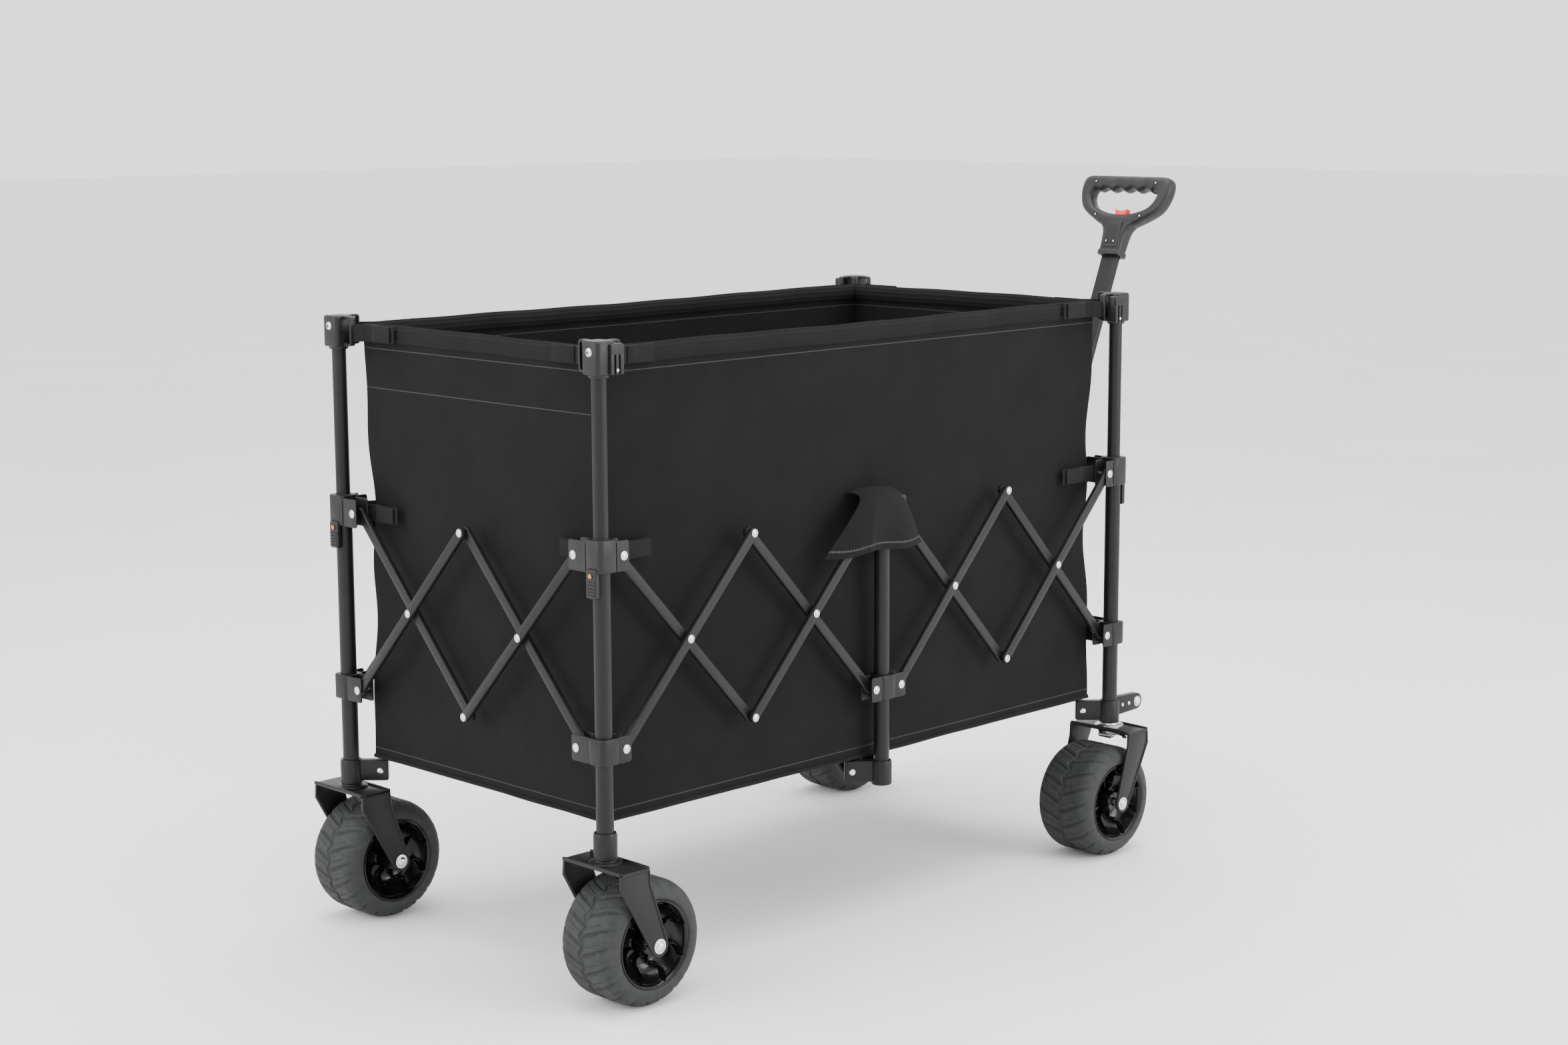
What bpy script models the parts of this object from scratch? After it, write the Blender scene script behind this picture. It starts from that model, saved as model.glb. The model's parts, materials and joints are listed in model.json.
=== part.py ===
"""Folding utility wagon with a pull handle: scissor frame, hung fabric basket, wide wheels.

Metres, +Z up, +X towards the handle end, +Y to the wagon's left. The floor is Z = 0.
"""
import math

import bmesh
import bpy
from mathutils import Matrix, Vector

# ---- Driving dimensions -------------------------------------------------------------------
UNIT = 0.2483            # width of one scissor cross; two of them span each panel
PIVOT_TOP = 0.627        # height of the upper pivots, fixed on the posts
PIVOT_LOW = 0.361        # height of the lower pivots, on the sliding brackets
SIDE_REACH = 0.0274      # corner post axis to its pivots along the long sides
END_REACH = 0.0405       # corner post axis to its pivots along the short ends
MID_REACH = 0.0273       # middle post axis to its pivots
FRAME_SHIFT = -0.1889    # frame centre along X, which centres the whole wagon on the origin

GAP = 0.0003             # clearance between touching pieces
LEG_RADIUS = 0.01225     # lower tube of a corner post
UPPER_RADIUS = 0.0105    # upper tube, which goes inside the lower one
MID_RADIUS = 0.0115      # middle post
TOP_Z = 0.9155           # top of the post caps
CAP_HEIGHT = 0.0445
LEG_BOTTOM = 0.2105
SLEEVE_RADIUS = 0.0165
SLEEVE_TOP = 0.2475
BRACKET_HEIGHT = 0.046   # plastic bracket around the upper pivots
SLIDER_HEIGHT = 0.037    # steel bracket around the lower pivots
COLLAR_HALF = 0.0168     # half the width of a bracket's square collar
UPPER_INSERT = 0.17      # how deep the upper tube goes into the lower one

BAR_WIDTH = 0.015
BAR_THICK = 0.0085
OUTER_FACE = 0.012       # outer face of the outer bars, from the post axis
LAYER_GAP = 0.001        # between outer and inner bars
PLATE = 0.0025           # bracket side plates
PIN_RADIUS = 0.0025
HEAD_RADIUS = 0.0045
HEAD_HEIGHT = 0.0014
PIN_SIDES = 10           # flats on a rivet and on the holes it turns in
POST_SIDES = 16
WHEEL_STEPS = 24

WHEEL_RADIUS = 0.09
WHEEL_WIDTH = 0.106
RIM_RADIUS = 0.062
AXLE_RADIUS = 0.005
REAR_TRAIL = 0.043       # rear axle behind its post, towards the middle
FRONT_TRAIL = 0.0385
FORK_WALL = 0.004
FORK_GAP = 0.0035        # between tyre and fork leg
CROWN_TOP = 0.2055
CROWN_THICK = 0.007
CROWN_HALF = 0.026       # half the crown's length along X
STEM_RADIUS = 0.008
STEM_DEPTH = 0.03
BRAKE_BELOW = 0.0085     # brake hinge below the crown
BRAKE_BARREL = 0.0035
BRAKE_EARS = 0.024       # from the post axis to the ears that hold the brake hinge

BASKET_INSET = 0.026     # post axis to the basket's outer wall
BASKET_WALL = 0.003
BASKET_FLOOR = 0.25
BASKET_RIM = 0.903
FLOOR_THICK = 0.005

PIVOT_OUT = 0.066        # handle pivot in front of the front post axes
HANDLE_PIVOT_Z = 0.235
HANDLE_LEAN = math.radians(22.2)
LOWER_WIDTH = 0.040      # lower handle tube, across the wagon
LOWER_DEPTH = 0.019
UPPER_WIDTH = 0.034      # upper handle tube, which slides in the lower one
UPPER_DEPTH = 0.013
TUBE_WALL = 0.0015
LOWER_TOP = 0.50         # all along the handle, from its pivot
UPPER_START = 0.32
UPPER_TOP = 0.808
SOCKET_START = 0.767
GRIP_NECK = 0.812
GRIP_TOP = 0.9155
GRIP_THICK = 0.028
STAY_HALF = 0.016
BUTTON_TRAVEL = 0.004

# ---- Sizes that follow --------------------------------------------------------------------
HALF_LENGTH = 2 * UNIT + SIDE_REACH + MID_REACH
HALF_WIDTH = UNIT + END_REACH
BAR_PIVOTS = math.hypot(UNIT, PIVOT_TOP - PIVOT_LOW)
BAR_ANGLE = math.atan2(PIVOT_TOP - PIVOT_LOW, UNIT)
FOLDED_ANGLE = math.radians(78)
FOLDED_DROP = BAR_PIVOTS * math.sin(FOLDED_ANGLE) - (PIVOT_TOP - PIVOT_LOW)
OUTER_MID = OUTER_FACE - BAR_THICK / 2
INNER_MID = OUTER_MID - BAR_THICK - LAYER_GAP
INNER_FACE = INNER_MID - BAR_THICK / 2
PLATE_OUT = (OUTER_FACE + GAP, OUTER_FACE + GAP + PLATE)
PLATE_IN = (INNER_FACE - GAP - PLATE, INNER_FACE - GAP)
BRACKET_TOP = PIVOT_TOP + BRACKET_HEIGHT / 2 + 0.002
FORK_INNER = WHEEL_WIDTH / 2 + FORK_GAP
FORK_OUTER = FORK_INNER + FORK_WALL
X, Y, Z = Vector((1, 0, 0)), Vector((0, 1, 0)), Vector((0, 0, 1))

CORNERS = {"rear_right": (-1, -1), "rear_left": (-1, 1), "front_right": (1, -1), "front_left": (1, 1)}
MIDDLES = {"right": -1, "left": 1}


def post_place(name):
    """Post axis at floor level: a corner, or the middle of a long side."""
    if name in CORNERS:
        sx, sy = CORNERS[name]
        return Vector((FRAME_SHIFT + sx * HALF_LENGTH, sy * HALF_WIDTH, 0))
    return Vector((FRAME_SHIFT, MIDDLES[name] * HALF_WIDTH, 0))


# panel: outward normal, left post and its reach, right post and its reach, seen from outside
PANELS = {
    "right_rear": (-Y, "rear_right", SIDE_REACH, "right", MID_REACH),
    "right_front": (-Y, "right", MID_REACH, "front_right", SIDE_REACH),
    "left_front": (Y, "front_left", SIDE_REACH, "left", MID_REACH),
    "left_rear": (Y, "left", MID_REACH, "rear_left", SIDE_REACH),
    "rear": (-X, "rear_left", END_REACH, "rear_right", END_REACH),
    "front": (X, "front_right", END_REACH, "front_left", END_REACH),
}

# ---- Scene and materials ------------------------------------------------------------------
for old in list(bpy.data.objects):
    bpy.data.objects.remove(old)
PARTS = bpy.data.collections.new("pull_wagon")
TOOLS = bpy.data.collections.new("cutters")
for collection in (PARTS, TOOLS):
    bpy.context.scene.collection.children.link(collection)


def material(name, colour, roughness, metallic):
    made = bpy.data.materials.new(name)
    made.use_nodes = True
    shader = made.node_tree.nodes["Principled BSDF"]
    shader.inputs["Base Color"].default_value = (*colour, 1)
    shader.inputs["Roughness"].default_value = roughness
    shader.inputs["Metallic"].default_value = metallic
    return made


COATED = material("black_powder_coat", (0.022, 0.023, 0.023), 0.45, 0.3)
PLASTIC = material("black_plastic", (0.02, 0.021, 0.021), 0.4, 0.0)
RUBBER = material("grey_rubber", (0.045, 0.048, 0.048), 0.75, 0.0)
GLOSS = material("black_gloss_plastic", (0.008, 0.008, 0.008), 0.2, 0.0)
FABRIC = material("black_fabric", (0.018, 0.018, 0.018), 0.9, 0.0)
RED = material("red_plastic", (0.8, 0.03, 0.03), 0.4, 0.0)


# ---- Modelling helpers --------------------------------------------------------------------
def tool(mesh):
    """A loose shape that another one is about to take in or be cut by."""
    shape = bpy.data.objects.new("shape", mesh)
    TOOLS.objects.link(shape)
    shape.hide_render = True
    shape.display_type = "WIRE"
    return shape


def from_bmesh(bm, weld=False):
    if weld:
        bmesh.ops.remove_doubles(bm, verts=bm.verts, dist=0.00001)
    bmesh.ops.recalc_face_normals(bm, faces=bm.faces)
    mesh = bpy.data.meshes.new("shape")
    bm.to_mesh(mesh)
    bm.free()
    return tool(mesh)


def box(low, high):
    """An upright box between two corners."""
    low, high = Vector(low), Vector(high)
    size = Matrix.Diagonal((*(high - low), 1))
    bm = bmesh.new()
    bmesh.ops.create_cube(bm, size=1, matrix=Matrix.Translation((low + high) / 2) @ size)
    return from_bmesh(bm)


def rod(radius, start, end, sides=12, end_radius=None):
    """A round bar, or a cone where its end has another radius."""
    start, end = Vector(start), Vector(end)
    run = end - start
    turn = Z.rotation_difference(run).to_matrix().to_4x4()
    bm = bmesh.new()
    bmesh.ops.create_cone(
        bm, cap_ends=True, segments=sides, radius1=radius,
        radius2=radius if end_radius is None else end_radius, depth=run.length,
        matrix=Matrix.Translation((start + end) / 2) @ turn)
    return from_bmesh(bm)


def evaluated(shape):
    """The shape's mesh with its modifiers or its curve settings worked out."""
    graph = bpy.context.evaluated_depsgraph_get()
    mesh = bpy.data.meshes.new_from_object(shape.evaluated_get(graph))
    bm = bmesh.new()
    bm.from_mesh(mesh)
    bm.transform(shape.matrix_world)
    bpy.data.meshes.remove(mesh)
    bpy.data.objects.remove(shape)
    return bm


def circle(centre, radius, count=12):
    turns = [2 * math.pi * i / count for i in range(count)]
    return [(centre[0] + radius * math.cos(t), centre[1] + radius * math.sin(t)) for t in turns]


def hull(points):
    """Outline around a set of points in a plane, counter-clockwise."""
    points = sorted(set((round(x, 7), round(y, 7)) for x, y in points))

    def side(run):
        kept = []
        for p in run:
            while len(kept) > 1:
                (ax, ay), (bx, by) = kept[-2:]
                if (bx - ax) * (p[1] - ay) - (by - ay) * (p[0] - ax) > 1e-12:
                    break
                kept.pop()
            kept.append(p)
        return kept[:-1]

    return side(points) + side(points[::-1])


def plate(outlines, middle, right, up, thick):
    """A flat piece: its first outline is filled and the others are holes in it."""
    curve = bpy.data.curves.new("shape", "CURVE")
    curve.dimensions = "2D"
    curve.fill_mode = "BOTH"
    curve.extrude = thick / 2
    for outline in outlines:
        spline = curve.splines.new("POLY")
        spline.points.add(len(outline) - 1)
        for point, (px, py) in zip(spline.points, outline):
            point.co = (px, py, 0, 1)
        spline.use_cyclic_u = True
    shape = bpy.data.objects.new("shape", curve)
    TOOLS.objects.link(shape)
    right, up = Vector(right), Vector(up)
    basis = Matrix((right, up, right.cross(up))).transposed().to_4x4()
    shape.matrix_world = Matrix.Translation(middle) @ basis
    bpy.context.view_layer.update()
    return from_bmesh(evaluated(shape), weld=True)


def turned(profile, steps, centre):
    """A ring turned about a Y axis through centre, from a closed profile of (radius, offset)."""
    mesh = bpy.data.meshes.new("shape")
    edges = [(i, (i + 1) % len(profile)) for i in range(len(profile))]
    mesh.from_pydata([(r, 0, z) for r, z in profile], edges, [])
    shape = tool(mesh)
    screw = shape.modifiers.new("turn", "SCREW")
    screw.axis = "Z"
    screw.angle = 2 * math.pi
    screw.steps = steps
    screw.render_steps = steps
    screw.use_merge_vertices = True
    screw.merge_threshold = 0.00001
    shape.matrix_world = Matrix.Translation(centre) @ Matrix.Rotation(math.pi / 2, 4, "X")
    bpy.context.view_layer.update()
    return from_bmesh(evaluated(shape), weld=True)


def combine(base, unions=(), cuts=()):
    """Base with some shapes joined to it, then others cut from it."""
    steps = [(other, "UNION") for other in unions] + [(other, "DIFFERENCE") for other in cuts]
    for other, operation in steps:
        step = base.modifiers.new(operation.lower(), "BOOLEAN")
        step.operation = operation
        step.solver = "EXACT"
        step.object = other
    bpy.context.view_layer.update()
    made = from_bmesh(evaluated(base), weld=True)
    for other, _ in steps:
        bpy.data.objects.remove(other)
    return made


def part(shape, name, finish, pivot):
    """Names a finished shape and puts its origin on the axis it turns or slides on."""
    pivot = Vector(pivot)
    shape.data.transform(Matrix.Translation(-pivot))
    shape.location = pivot
    shape.name = name
    shape.data.name = name
    shape.data.materials.append(finish)
    shape.data.shade_smooth()
    shape.data.set_sharp_from_angle(angle=math.radians(35))
    TOOLS.objects.unlink(shape)
    PARTS.objects.link(shape)
    shape.hide_render = False
    shape.display_type = "TEXTURED"
    return shape


# ---- Scissor bars -------------------------------------------------------------------------
def panel_frame(name):
    """A panel's foot of the left pivot column, its direction to the right, and its normal."""
    normal, left, reach, _, _ = PANELS[name]
    right = Z.cross(normal)
    return post_place(left) + right * reach, right, normal


def pivot_point(name, column, height, depth=0.0):
    """A pivot in a panel: column 0, 1 or 2 counts crosses from the left."""
    foot, right, normal = panel_frame(name)
    return foot + right * (UNIT * column) + Z * height + normal * depth


# bar: left column, left height, right height, outer layer or not
BARS = {
    1: (0, PIVOT_TOP, PIVOT_LOW, False),
    2: (0, PIVOT_LOW, PIVOT_TOP, True),
    3: (1, PIVOT_TOP, PIVOT_LOW, False),
    4: (1, PIVOT_LOW, PIVOT_TOP, True),
}
# origin of each bar: the pivot it turns on, as a share of its length from the left
BAR_ORIGINS = {1: 0.0, 2: 0.5, 3: 0.5, 4: 0.0}
BAR_ORIGINS_BACK = {1: 1.0, 2: 0.5, 3: 0.5, 4: 1.0}
BUILT_FROM_RIGHT = ("right_rear", "rear", "left_rear")


def rivet(centre, normal, outer, inner):
    """A pin along a panel's normal with a domed head on the outside, flush on the inside."""
    head = rod(HEAD_RADIUS, centre + normal * outer, centre + normal * (outer + HEAD_HEIGHT),
               PIN_SIDES, HEAD_RADIUS * 0.6)
    shank = rod(PIN_RADIUS, centre + normal * inner,
                centre + normal * (outer + HEAD_HEIGHT / 2), PIN_SIDES)
    return [shank, head]


def at_bracket(panel, column, height):
    """Whether an outer bar's end is held between bracket plates: at its posts, and on the stay."""
    on_stay = panel == "front" and column == 1 and height == PIVOT_TOP
    return column != 1 or on_stay


def make_bar(panel, number):
    column, left_z, right_z, outer = BARS[number]
    normal = PANELS[panel][0]
    depth = OUTER_MID if outer else INNER_MID
    left = pivot_point(panel, column, left_z)
    right = pivot_point(panel, column + 1, right_z)
    along = (right - left).normalized()
    half = BAR_PIVOTS / 2
    stops = (-half, 0.0, half)
    outline = hull(circle((-half, 0), BAR_WIDTH / 2) + circle((half, 0), BAR_WIDTH / 2))
    holes = [] if outer else [circle((stop, 0), PIN_RADIUS + GAP, PIN_SIDES) for stop in stops]
    middle = (left + right) / 2
    shape = plate([outline, *holes], middle + normal * depth, along, normal.cross(along), BAR_THICK)
    if outer:
        ends = ((left, column, left_z), (middle, 1, None), (right, column + 1, right_z))
        pins = []
        for centre, at, height in ends:
            held = at_bracket(panel, at, height)
            top = PLATE_OUT[1] + GAP if held else OUTER_FACE - GAP
            on_stay = held and at == 1
            bottom = PLATE_IN[0] if held and not on_stay else INNER_FACE
            pins += rivet(centre, normal, top, bottom)
        shape = combine(shape, pins)
    origins = BAR_ORIGINS_BACK if panel in BUILT_FROM_RIGHT else BAR_ORIGINS
    pivot = left.lerp(right, origins[number])
    return part(shape, f"bar_{panel}_{number}", COATED, pivot)


# ---- Brackets -----------------------------------------------------------------------------
def wings_of(post):
    """The panels that meet at a post: panel, direction away from the post, reach, and whether
    the post is on the panel's left."""
    found = []
    for name, (normal, left, left_reach, right, right_reach) in PANELS.items():
        across = Z.cross(normal)
        if left == post:
            found.append((name, normal, across, left_reach, True))
        if right == post:
            found.append((name, normal, -across, right_reach, False))
    return found


def clevis(post, height, tall, upper):
    """Two side plates for each panel at a post, with a pin where an inner bar is held and holes
    where an outer bar's own pin goes through. Returns shapes to join and shapes to cut."""
    place = post_place(post)
    joins, cuts = [], []
    for _, normal, away, reach, is_left in wings_of(post):
        length = reach + BAR_WIDTH * 0.62
        for low, high in (PLATE_IN, PLATE_OUT):
            corner_a = place + away * (COLLAR_HALF - 0.003) + normal * low + Z * (height - tall / 2)
            corner_b = place + away * length + normal * high + Z * (height + tall / 2)
            low_corner = [min(a, b) for a, b in zip(corner_a, corner_b)]
            high_corner = [max(a, b) for a, b in zip(corner_a, corner_b)]
            joins.append(box(low_corner, high_corner))
        centre = place + away * reach + Z * height
        holds_inner = is_left == upper
        if holds_inner:
            shank = rod(PIN_RADIUS, centre + normal * (PLATE_IN[0] + PLATE / 2),
                        centre + normal * (PLATE_OUT[1] - PLATE / 2), PIN_SIDES)
            head = rod(HEAD_RADIUS, centre + normal * (PLATE_OUT[1] - PLATE / 2),
                       centre + normal * (PLATE_OUT[1] + HEAD_HEIGHT), PIN_SIDES, HEAD_RADIUS * 0.6)
            joins += [shank, head]
        else:
            cuts.append(rod(PIN_RADIUS + GAP, centre + normal * (PLATE_IN[0] - PLATE),
                            centre + normal * (PLATE_OUT[1] + PLATE), PIN_SIDES))
    return joins, cuts


def collar(place, low, high):
    return box((place.x - COLLAR_HALF, place.y - COLLAR_HALF, low),
               (place.x + COLLAR_HALF, place.y + COLLAR_HALF, high))


def make_slider(post, name, radius):
    """Steel bracket that slides on its post as the frame folds."""
    place = post_place(post)
    joins, cuts = clevis(post, PIVOT_LOW, SLIDER_HEIGHT, upper=False)
    low, high = PIVOT_LOW - SLIDER_HEIGHT / 2, PIVOT_LOW + SLIDER_HEIGHT / 2
    cuts.append(upright(radius + GAP, place, low - 0.01, high + 0.01))
    shape = combine(collar(place, low, high), joins, cuts)
    reach, away = wings_of(post)[0][3], wings_of(post)[0][2]
    return part(shape, name, COATED, place + away * reach + Z * PIVOT_LOW)


def upright(radius, place, low, high, sides=POST_SIDES):
    return rod(radius, place + Z * low, place + Z * high, sides)


def floor_wing(place, direction):
    """Lug at a post's foot that points at the floor stretchers' crossing."""
    angle = math.atan2(direction[1], direction[0])
    right = Vector((math.cos(angle), math.sin(angle), 0))
    low, high = LEG_BOTTOM + 0.004, SLEEVE_TOP - 0.001
    outline = [(0, low), (0.052, low), (0.056, low + 0.004), (0.056, high - 0.004),
               (0.052, high), (0, high)]
    return plate([outline], place, right, Z, 0.014)


def front_arm(place):
    """Rounded arm in front of a front post, with its bolt across the wagon."""
    height = SLEEVE_TOP - LEG_BOTTOM
    middle = LEG_BOTTOM + height / 2
    points = circle((0, middle), height / 2 - 0.001, 16)
    points += circle((PIVOT_OUT, HANDLE_PIVOT_Z), 0.0135, 16)
    arm = plate([hull(points)], place, X, Z, 0.012)
    bolt = rod(0.006, place + X * PIVOT_OUT - Y * 0.0105 + Z * HANDLE_PIVOT_Z,
               place + X * PIVOT_OUT + Y * 0.0105 + Z * HANDLE_PIVOT_Z, 10)
    return [arm, bolt]


def make_leg(post):
    """Lower tube of a corner post with its foot sleeve, foot lugs and upper pivot bracket."""
    place = post_place(post)
    sx, sy = CORNERS[post]
    joins, cuts = clevis(post, PIVOT_TOP, BRACKET_HEIGHT - 0.004, upper=True)
    joins.append(upright(SLEEVE_RADIUS, place, LEG_BOTTOM, SLEEVE_TOP))
    joins.append(collar(place, BRACKET_TOP - BRACKET_HEIGHT, BRACKET_TOP - 0.001))
    joins.append(floor_wing(place, (-sx, -sy)))
    if sx > 0:
        joins += front_arm(place)
    cuts.append(upright(UPPER_RADIUS + GAP, place, BRACKET_TOP - UPPER_INSERT - GAP, BRACKET_TOP + 0.01))
    cuts.append(upright(STEM_RADIUS + GAP, place, LEG_BOTTOM - 0.01, LEG_BOTTOM + STEM_DEPTH + GAP))
    shape = combine(upright(LEG_RADIUS, place, LEG_BOTTOM + 0.001, BRACKET_TOP), joins, cuts)
    return part(shape, f"leg_{post}", COATED, place + Z * PIVOT_TOP)


def make_upper_post(post):
    """Upper tube with its cap and the cap's two strap lugs."""
    place = post_place(post)
    cap_low = TOP_Z - CAP_HEIGHT
    joins = [collar(place, cap_low, TOP_Z)]
    for _, normal, away, _, _ in wings_of(post):
        a = place + away * (COLLAR_HALF - 0.003) - normal * 0.005 + Z * (cap_low + 0.003)
        b = place + away * 0.034 + normal * 0.005 + Z * (TOP_Z - 0.003)
        joins.append(box([min(p, q) for p, q in zip(a, b)], [max(p, q) for p, q in zip(a, b)]))
    tube = upright(UPPER_RADIUS, place, BRACKET_TOP - UPPER_INSERT, TOP_Z - 0.005)
    return part(combine(tube, joins), f"upper_post_{post}", COATED, place + Z * BRACKET_TOP)


def make_mid_post(side):
    """Short post in the middle of a long side."""
    place = post_place(side)
    inward = -MIDDLES[side]
    joins, cuts = clevis(side, PIVOT_TOP, BRACKET_HEIGHT - 0.004, upper=True)
    joins.append(collar(place, BRACKET_TOP - BRACKET_HEIGHT, BRACKET_TOP))
    joins.append(upright(SLEEVE_RADIUS - 0.001, place, LEG_BOTTOM, SLEEVE_TOP))
    joins += [floor_wing(place, (way, inward)) for way in (-1, 1)]
    shape = combine(upright(MID_RADIUS, place, LEG_BOTTOM + 0.001, BRACKET_TOP - 0.001), joins, cuts)
    return part(shape, f"mid_post_{side}", COATED, place + Z * PIVOT_TOP)


# ---- Wheels -------------------------------------------------------------------------------
def axle_place(post):
    sx = CORNERS[post][0]
    trail = REAR_TRAIL if sx < 0 else -FRONT_TRAIL
    return post_place(post) + X * trail + Z * WHEEL_RADIUS


def make_fork(post):
    """Bent fork with its crown, stem and axle bolt."""
    place, axle = post_place(post), axle_place(post)
    low = CROWN_TOP - CROWN_THICK
    crown = box((place.x - CROWN_HALF, place.y - FORK_OUTER, low),
                (place.x + CROWN_HALF, place.y + FORK_OUTER, CROWN_TOP))
    top = [(place.x - CROWN_HALF, CROWN_TOP - 0.001), (place.x + CROWN_HALF, CROWN_TOP - 0.001),
           (place.x - CROWN_HALF, low - 0.02), (place.x + CROWN_HALF, low - 0.02)]
    outline = hull(top + circle((axle.x, axle.z), 0.014, 20))
    joins = []
    for way in (-1, 1):
        middle = Vector((0, place.y + way * (FORK_INNER + FORK_OUTER) / 2, 0))
        joins.append(plate([outline], middle, X, Z, FORK_WALL))
        head = axle + Y * way * FORK_OUTER
        joins.append(rod(0.008, head - Y * way * 0.002, head + Y * way * 0.004, 10))
    joins.append(rod(AXLE_RADIUS, axle - Y * FORK_OUTER, axle + Y * FORK_OUTER, 12))
    joins.append(upright(STEM_RADIUS, place, low + 0.002, LEG_BOTTOM + STEM_DEPTH))
    joins.append(upright(SLEEVE_RADIUS - 0.001, place, low + 0.002, LEG_BOTTOM - GAP))
    cuts = []
    if CORNERS[post][0] > 0:
        hinge = brake_hinge(post)
        ear = hull(circle((hinge.x, hinge.z), BRAKE_BARREL + 0.003)
                   + [(hinge.x - 0.009, low + 0.001), (hinge.x + 0.009, low + 0.001)])
        for way in (-1, 1):
            joins.append(plate([ear], Vector((0, place.y + way * BRAKE_EARS, 0)), X, Z, 0.004))
        reach = Y * (BRAKE_EARS + 0.01)
        cuts.append(rod(BRAKE_BARREL + GAP, hinge - reach, hinge + reach, 12))
    pivot = place + Z * CROWN_TOP
    return part(combine(crown, joins, cuts), f"fork_{post}", COATED, pivot)


def make_wheel(post):
    """A wide tyre around a deep-dished rim."""
    centre = axle_place(post)
    half, bore = WHEEL_WIDTH / 2, AXLE_RADIUS + GAP
    inside = RIM_RADIUS + GAP
    tyre = [(inside, -half + 0.002), (0.068, -half), (0.080, -half), (0.0865, -half + 0.006),
            (WHEEL_RADIUS, -half + 0.02), (WHEEL_RADIUS, half - 0.02), (0.0865, half - 0.006), (0.080, half), (0.068, half),
            (inside, half - 0.002)]
    rim = [(bore, -half + 0.001), (0.016, -half + 0.001), (0.016, -0.003), (0.0555, -0.003),
           (0.0575, -half + 0.004), (RIM_RADIUS, -half + 0.004), (RIM_RADIUS, half - 0.004),
           (0.0575, half - 0.004), (0.0555, 0.003), (0.016, 0.003), (0.016, half - 0.001),
           (bore, half - 0.001)]
    part(turned(tyre, WHEEL_STEPS, centre), f"tyre_{post}", RUBBER, centre)
    part(turned(rim, WHEEL_STEPS, centre), f"rim_{post}", GLOSS, centre)


def brake_hinge(post):
    return post_place(post) + X * 0.012 + Z * (CROWN_TOP - CROWN_THICK - BRAKE_BELOW)


def make_brake(post):
    """Rocker under a front fork's crown: its pad meets the tyre as its tip is lifted."""
    hinge = brake_hinge(post)
    strip = box((hinge.x - 0.026, hinge.y - 0.014, hinge.z - 0.0012),
                (hinge.x + 0.03, hinge.y + 0.014, hinge.z + 0.0012))
    reach = Y * (BRAKE_EARS + 0.005)
    barrel = rod(BRAKE_BARREL, hinge - reach, hinge + reach, 12)
    tip = box((hinge.x + 0.029, hinge.y - 0.008, hinge.z - 0.0012),
              (hinge.x + 0.042, hinge.y + 0.008, hinge.z + 0.004))
    return part(combine(strip, [barrel, tip]), f"brake_{post}", COATED, hinge)


# ---- Basket -------------------------------------------------------------------------------
def make_basket():
    half_x, half_y = HALF_LENGTH - BASKET_INSET, HALF_WIDTH - BASKET_INSET
    outer = box((FRAME_SHIFT - half_x, -half_y, BASKET_FLOOR), (FRAME_SHIFT + half_x, half_y, BASKET_RIM))
    half_x, half_y = half_x - BASKET_WALL, half_y - BASKET_WALL
    inner = box((FRAME_SHIFT - half_x, -half_y, BASKET_FLOOR + FLOOR_THICK),
                (FRAME_SHIFT + half_x, half_y, BASKET_RIM + 0.05))
    foot = Vector((FRAME_SHIFT, 0, BASKET_FLOOR))
    return part(combine(outer, cuts=[inner]), "basket", FABRIC, foot)


# ---- Handle -------------------------------------------------------------------------------
HANDLE_FOOT = Vector((FRAME_SHIFT + HALF_LENGTH + PIVOT_OUT, 0, HANDLE_PIVOT_Z))
HANDLE_UP = Vector((math.sin(HANDLE_LEAN), 0, math.cos(HANDLE_LEAN)))
HANDLE_TURN = Matrix((HANDLE_UP.cross(Y) * -1, Y, HANDLE_UP)).transposed().to_4x4()


def leaned(shape):
    """Turns a shape modelled upright about the handle's pivot into the handle's lean."""
    shape.data.transform(Matrix.Translation(HANDLE_FOOT) @ HANDLE_TURN)
    return shape


def bar_box(width, depth, low, high):
    return box((-depth / 2, -width / 2, low), (depth / 2, width / 2, high))


def make_stay():
    """Plate on the front scissor's middle pivots, with the handle's hinge lugs at its foot."""
    foot, right, normal = panel_frame("front")
    face = foot + right * UNIT
    thick = PLATE_OUT[1] - PLATE_OUT[0]
    slot_low = PIVOT_LOW - FOLDED_DROP
    hole = circle((0, PIVOT_TOP), PIN_RADIUS + GAP, PIN_SIDES)
    slot = hull(circle((0, PIVOT_LOW), HEAD_RADIUS + 0.001, 12) + circle((0, slot_low), HEAD_RADIUS + 0.001, 12))
    bottom = HANDLE_PIVOT_Z - 0.014
    outline = hull(circle((0, PIVOT_TOP + 0.002), STAY_HALF, 16)
                   + [(-STAY_HALF - 0.008, bottom), (STAY_HALF + 0.008, bottom),
                      (-STAY_HALF, bottom + 0.06), (STAY_HALF, bottom + 0.06)])
    middle = face + normal * (PLATE_OUT[0] + thick / 2)
    sheet = plate([outline, hole, slot], middle, right, Z, thick)
    start = (face + normal * PLATE_OUT[0]).x + 0.001
    lug = hull([(start, bottom), (start, bottom + 0.05)]
               + circle((HANDLE_FOOT.x, HANDLE_FOOT.z), 0.014, 16))
    joins = []
    for way in (-1, 1):
        joins.append(plate([lug], Y * way * (LOWER_WIDTH / 2 + GAP + 0.002), X, Z, 0.004))
    reach = LOWER_WIDTH / 2 + GAP + 0.004 + 0.003
    joins.append(rod(AXLE_RADIUS, HANDLE_FOOT - Y * reach, HANDLE_FOOT + Y * reach, 12))
    return part(combine(sheet, joins), "handle_stay", COATED, pivot_point("front", 1, PIVOT_TOP))


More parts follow.
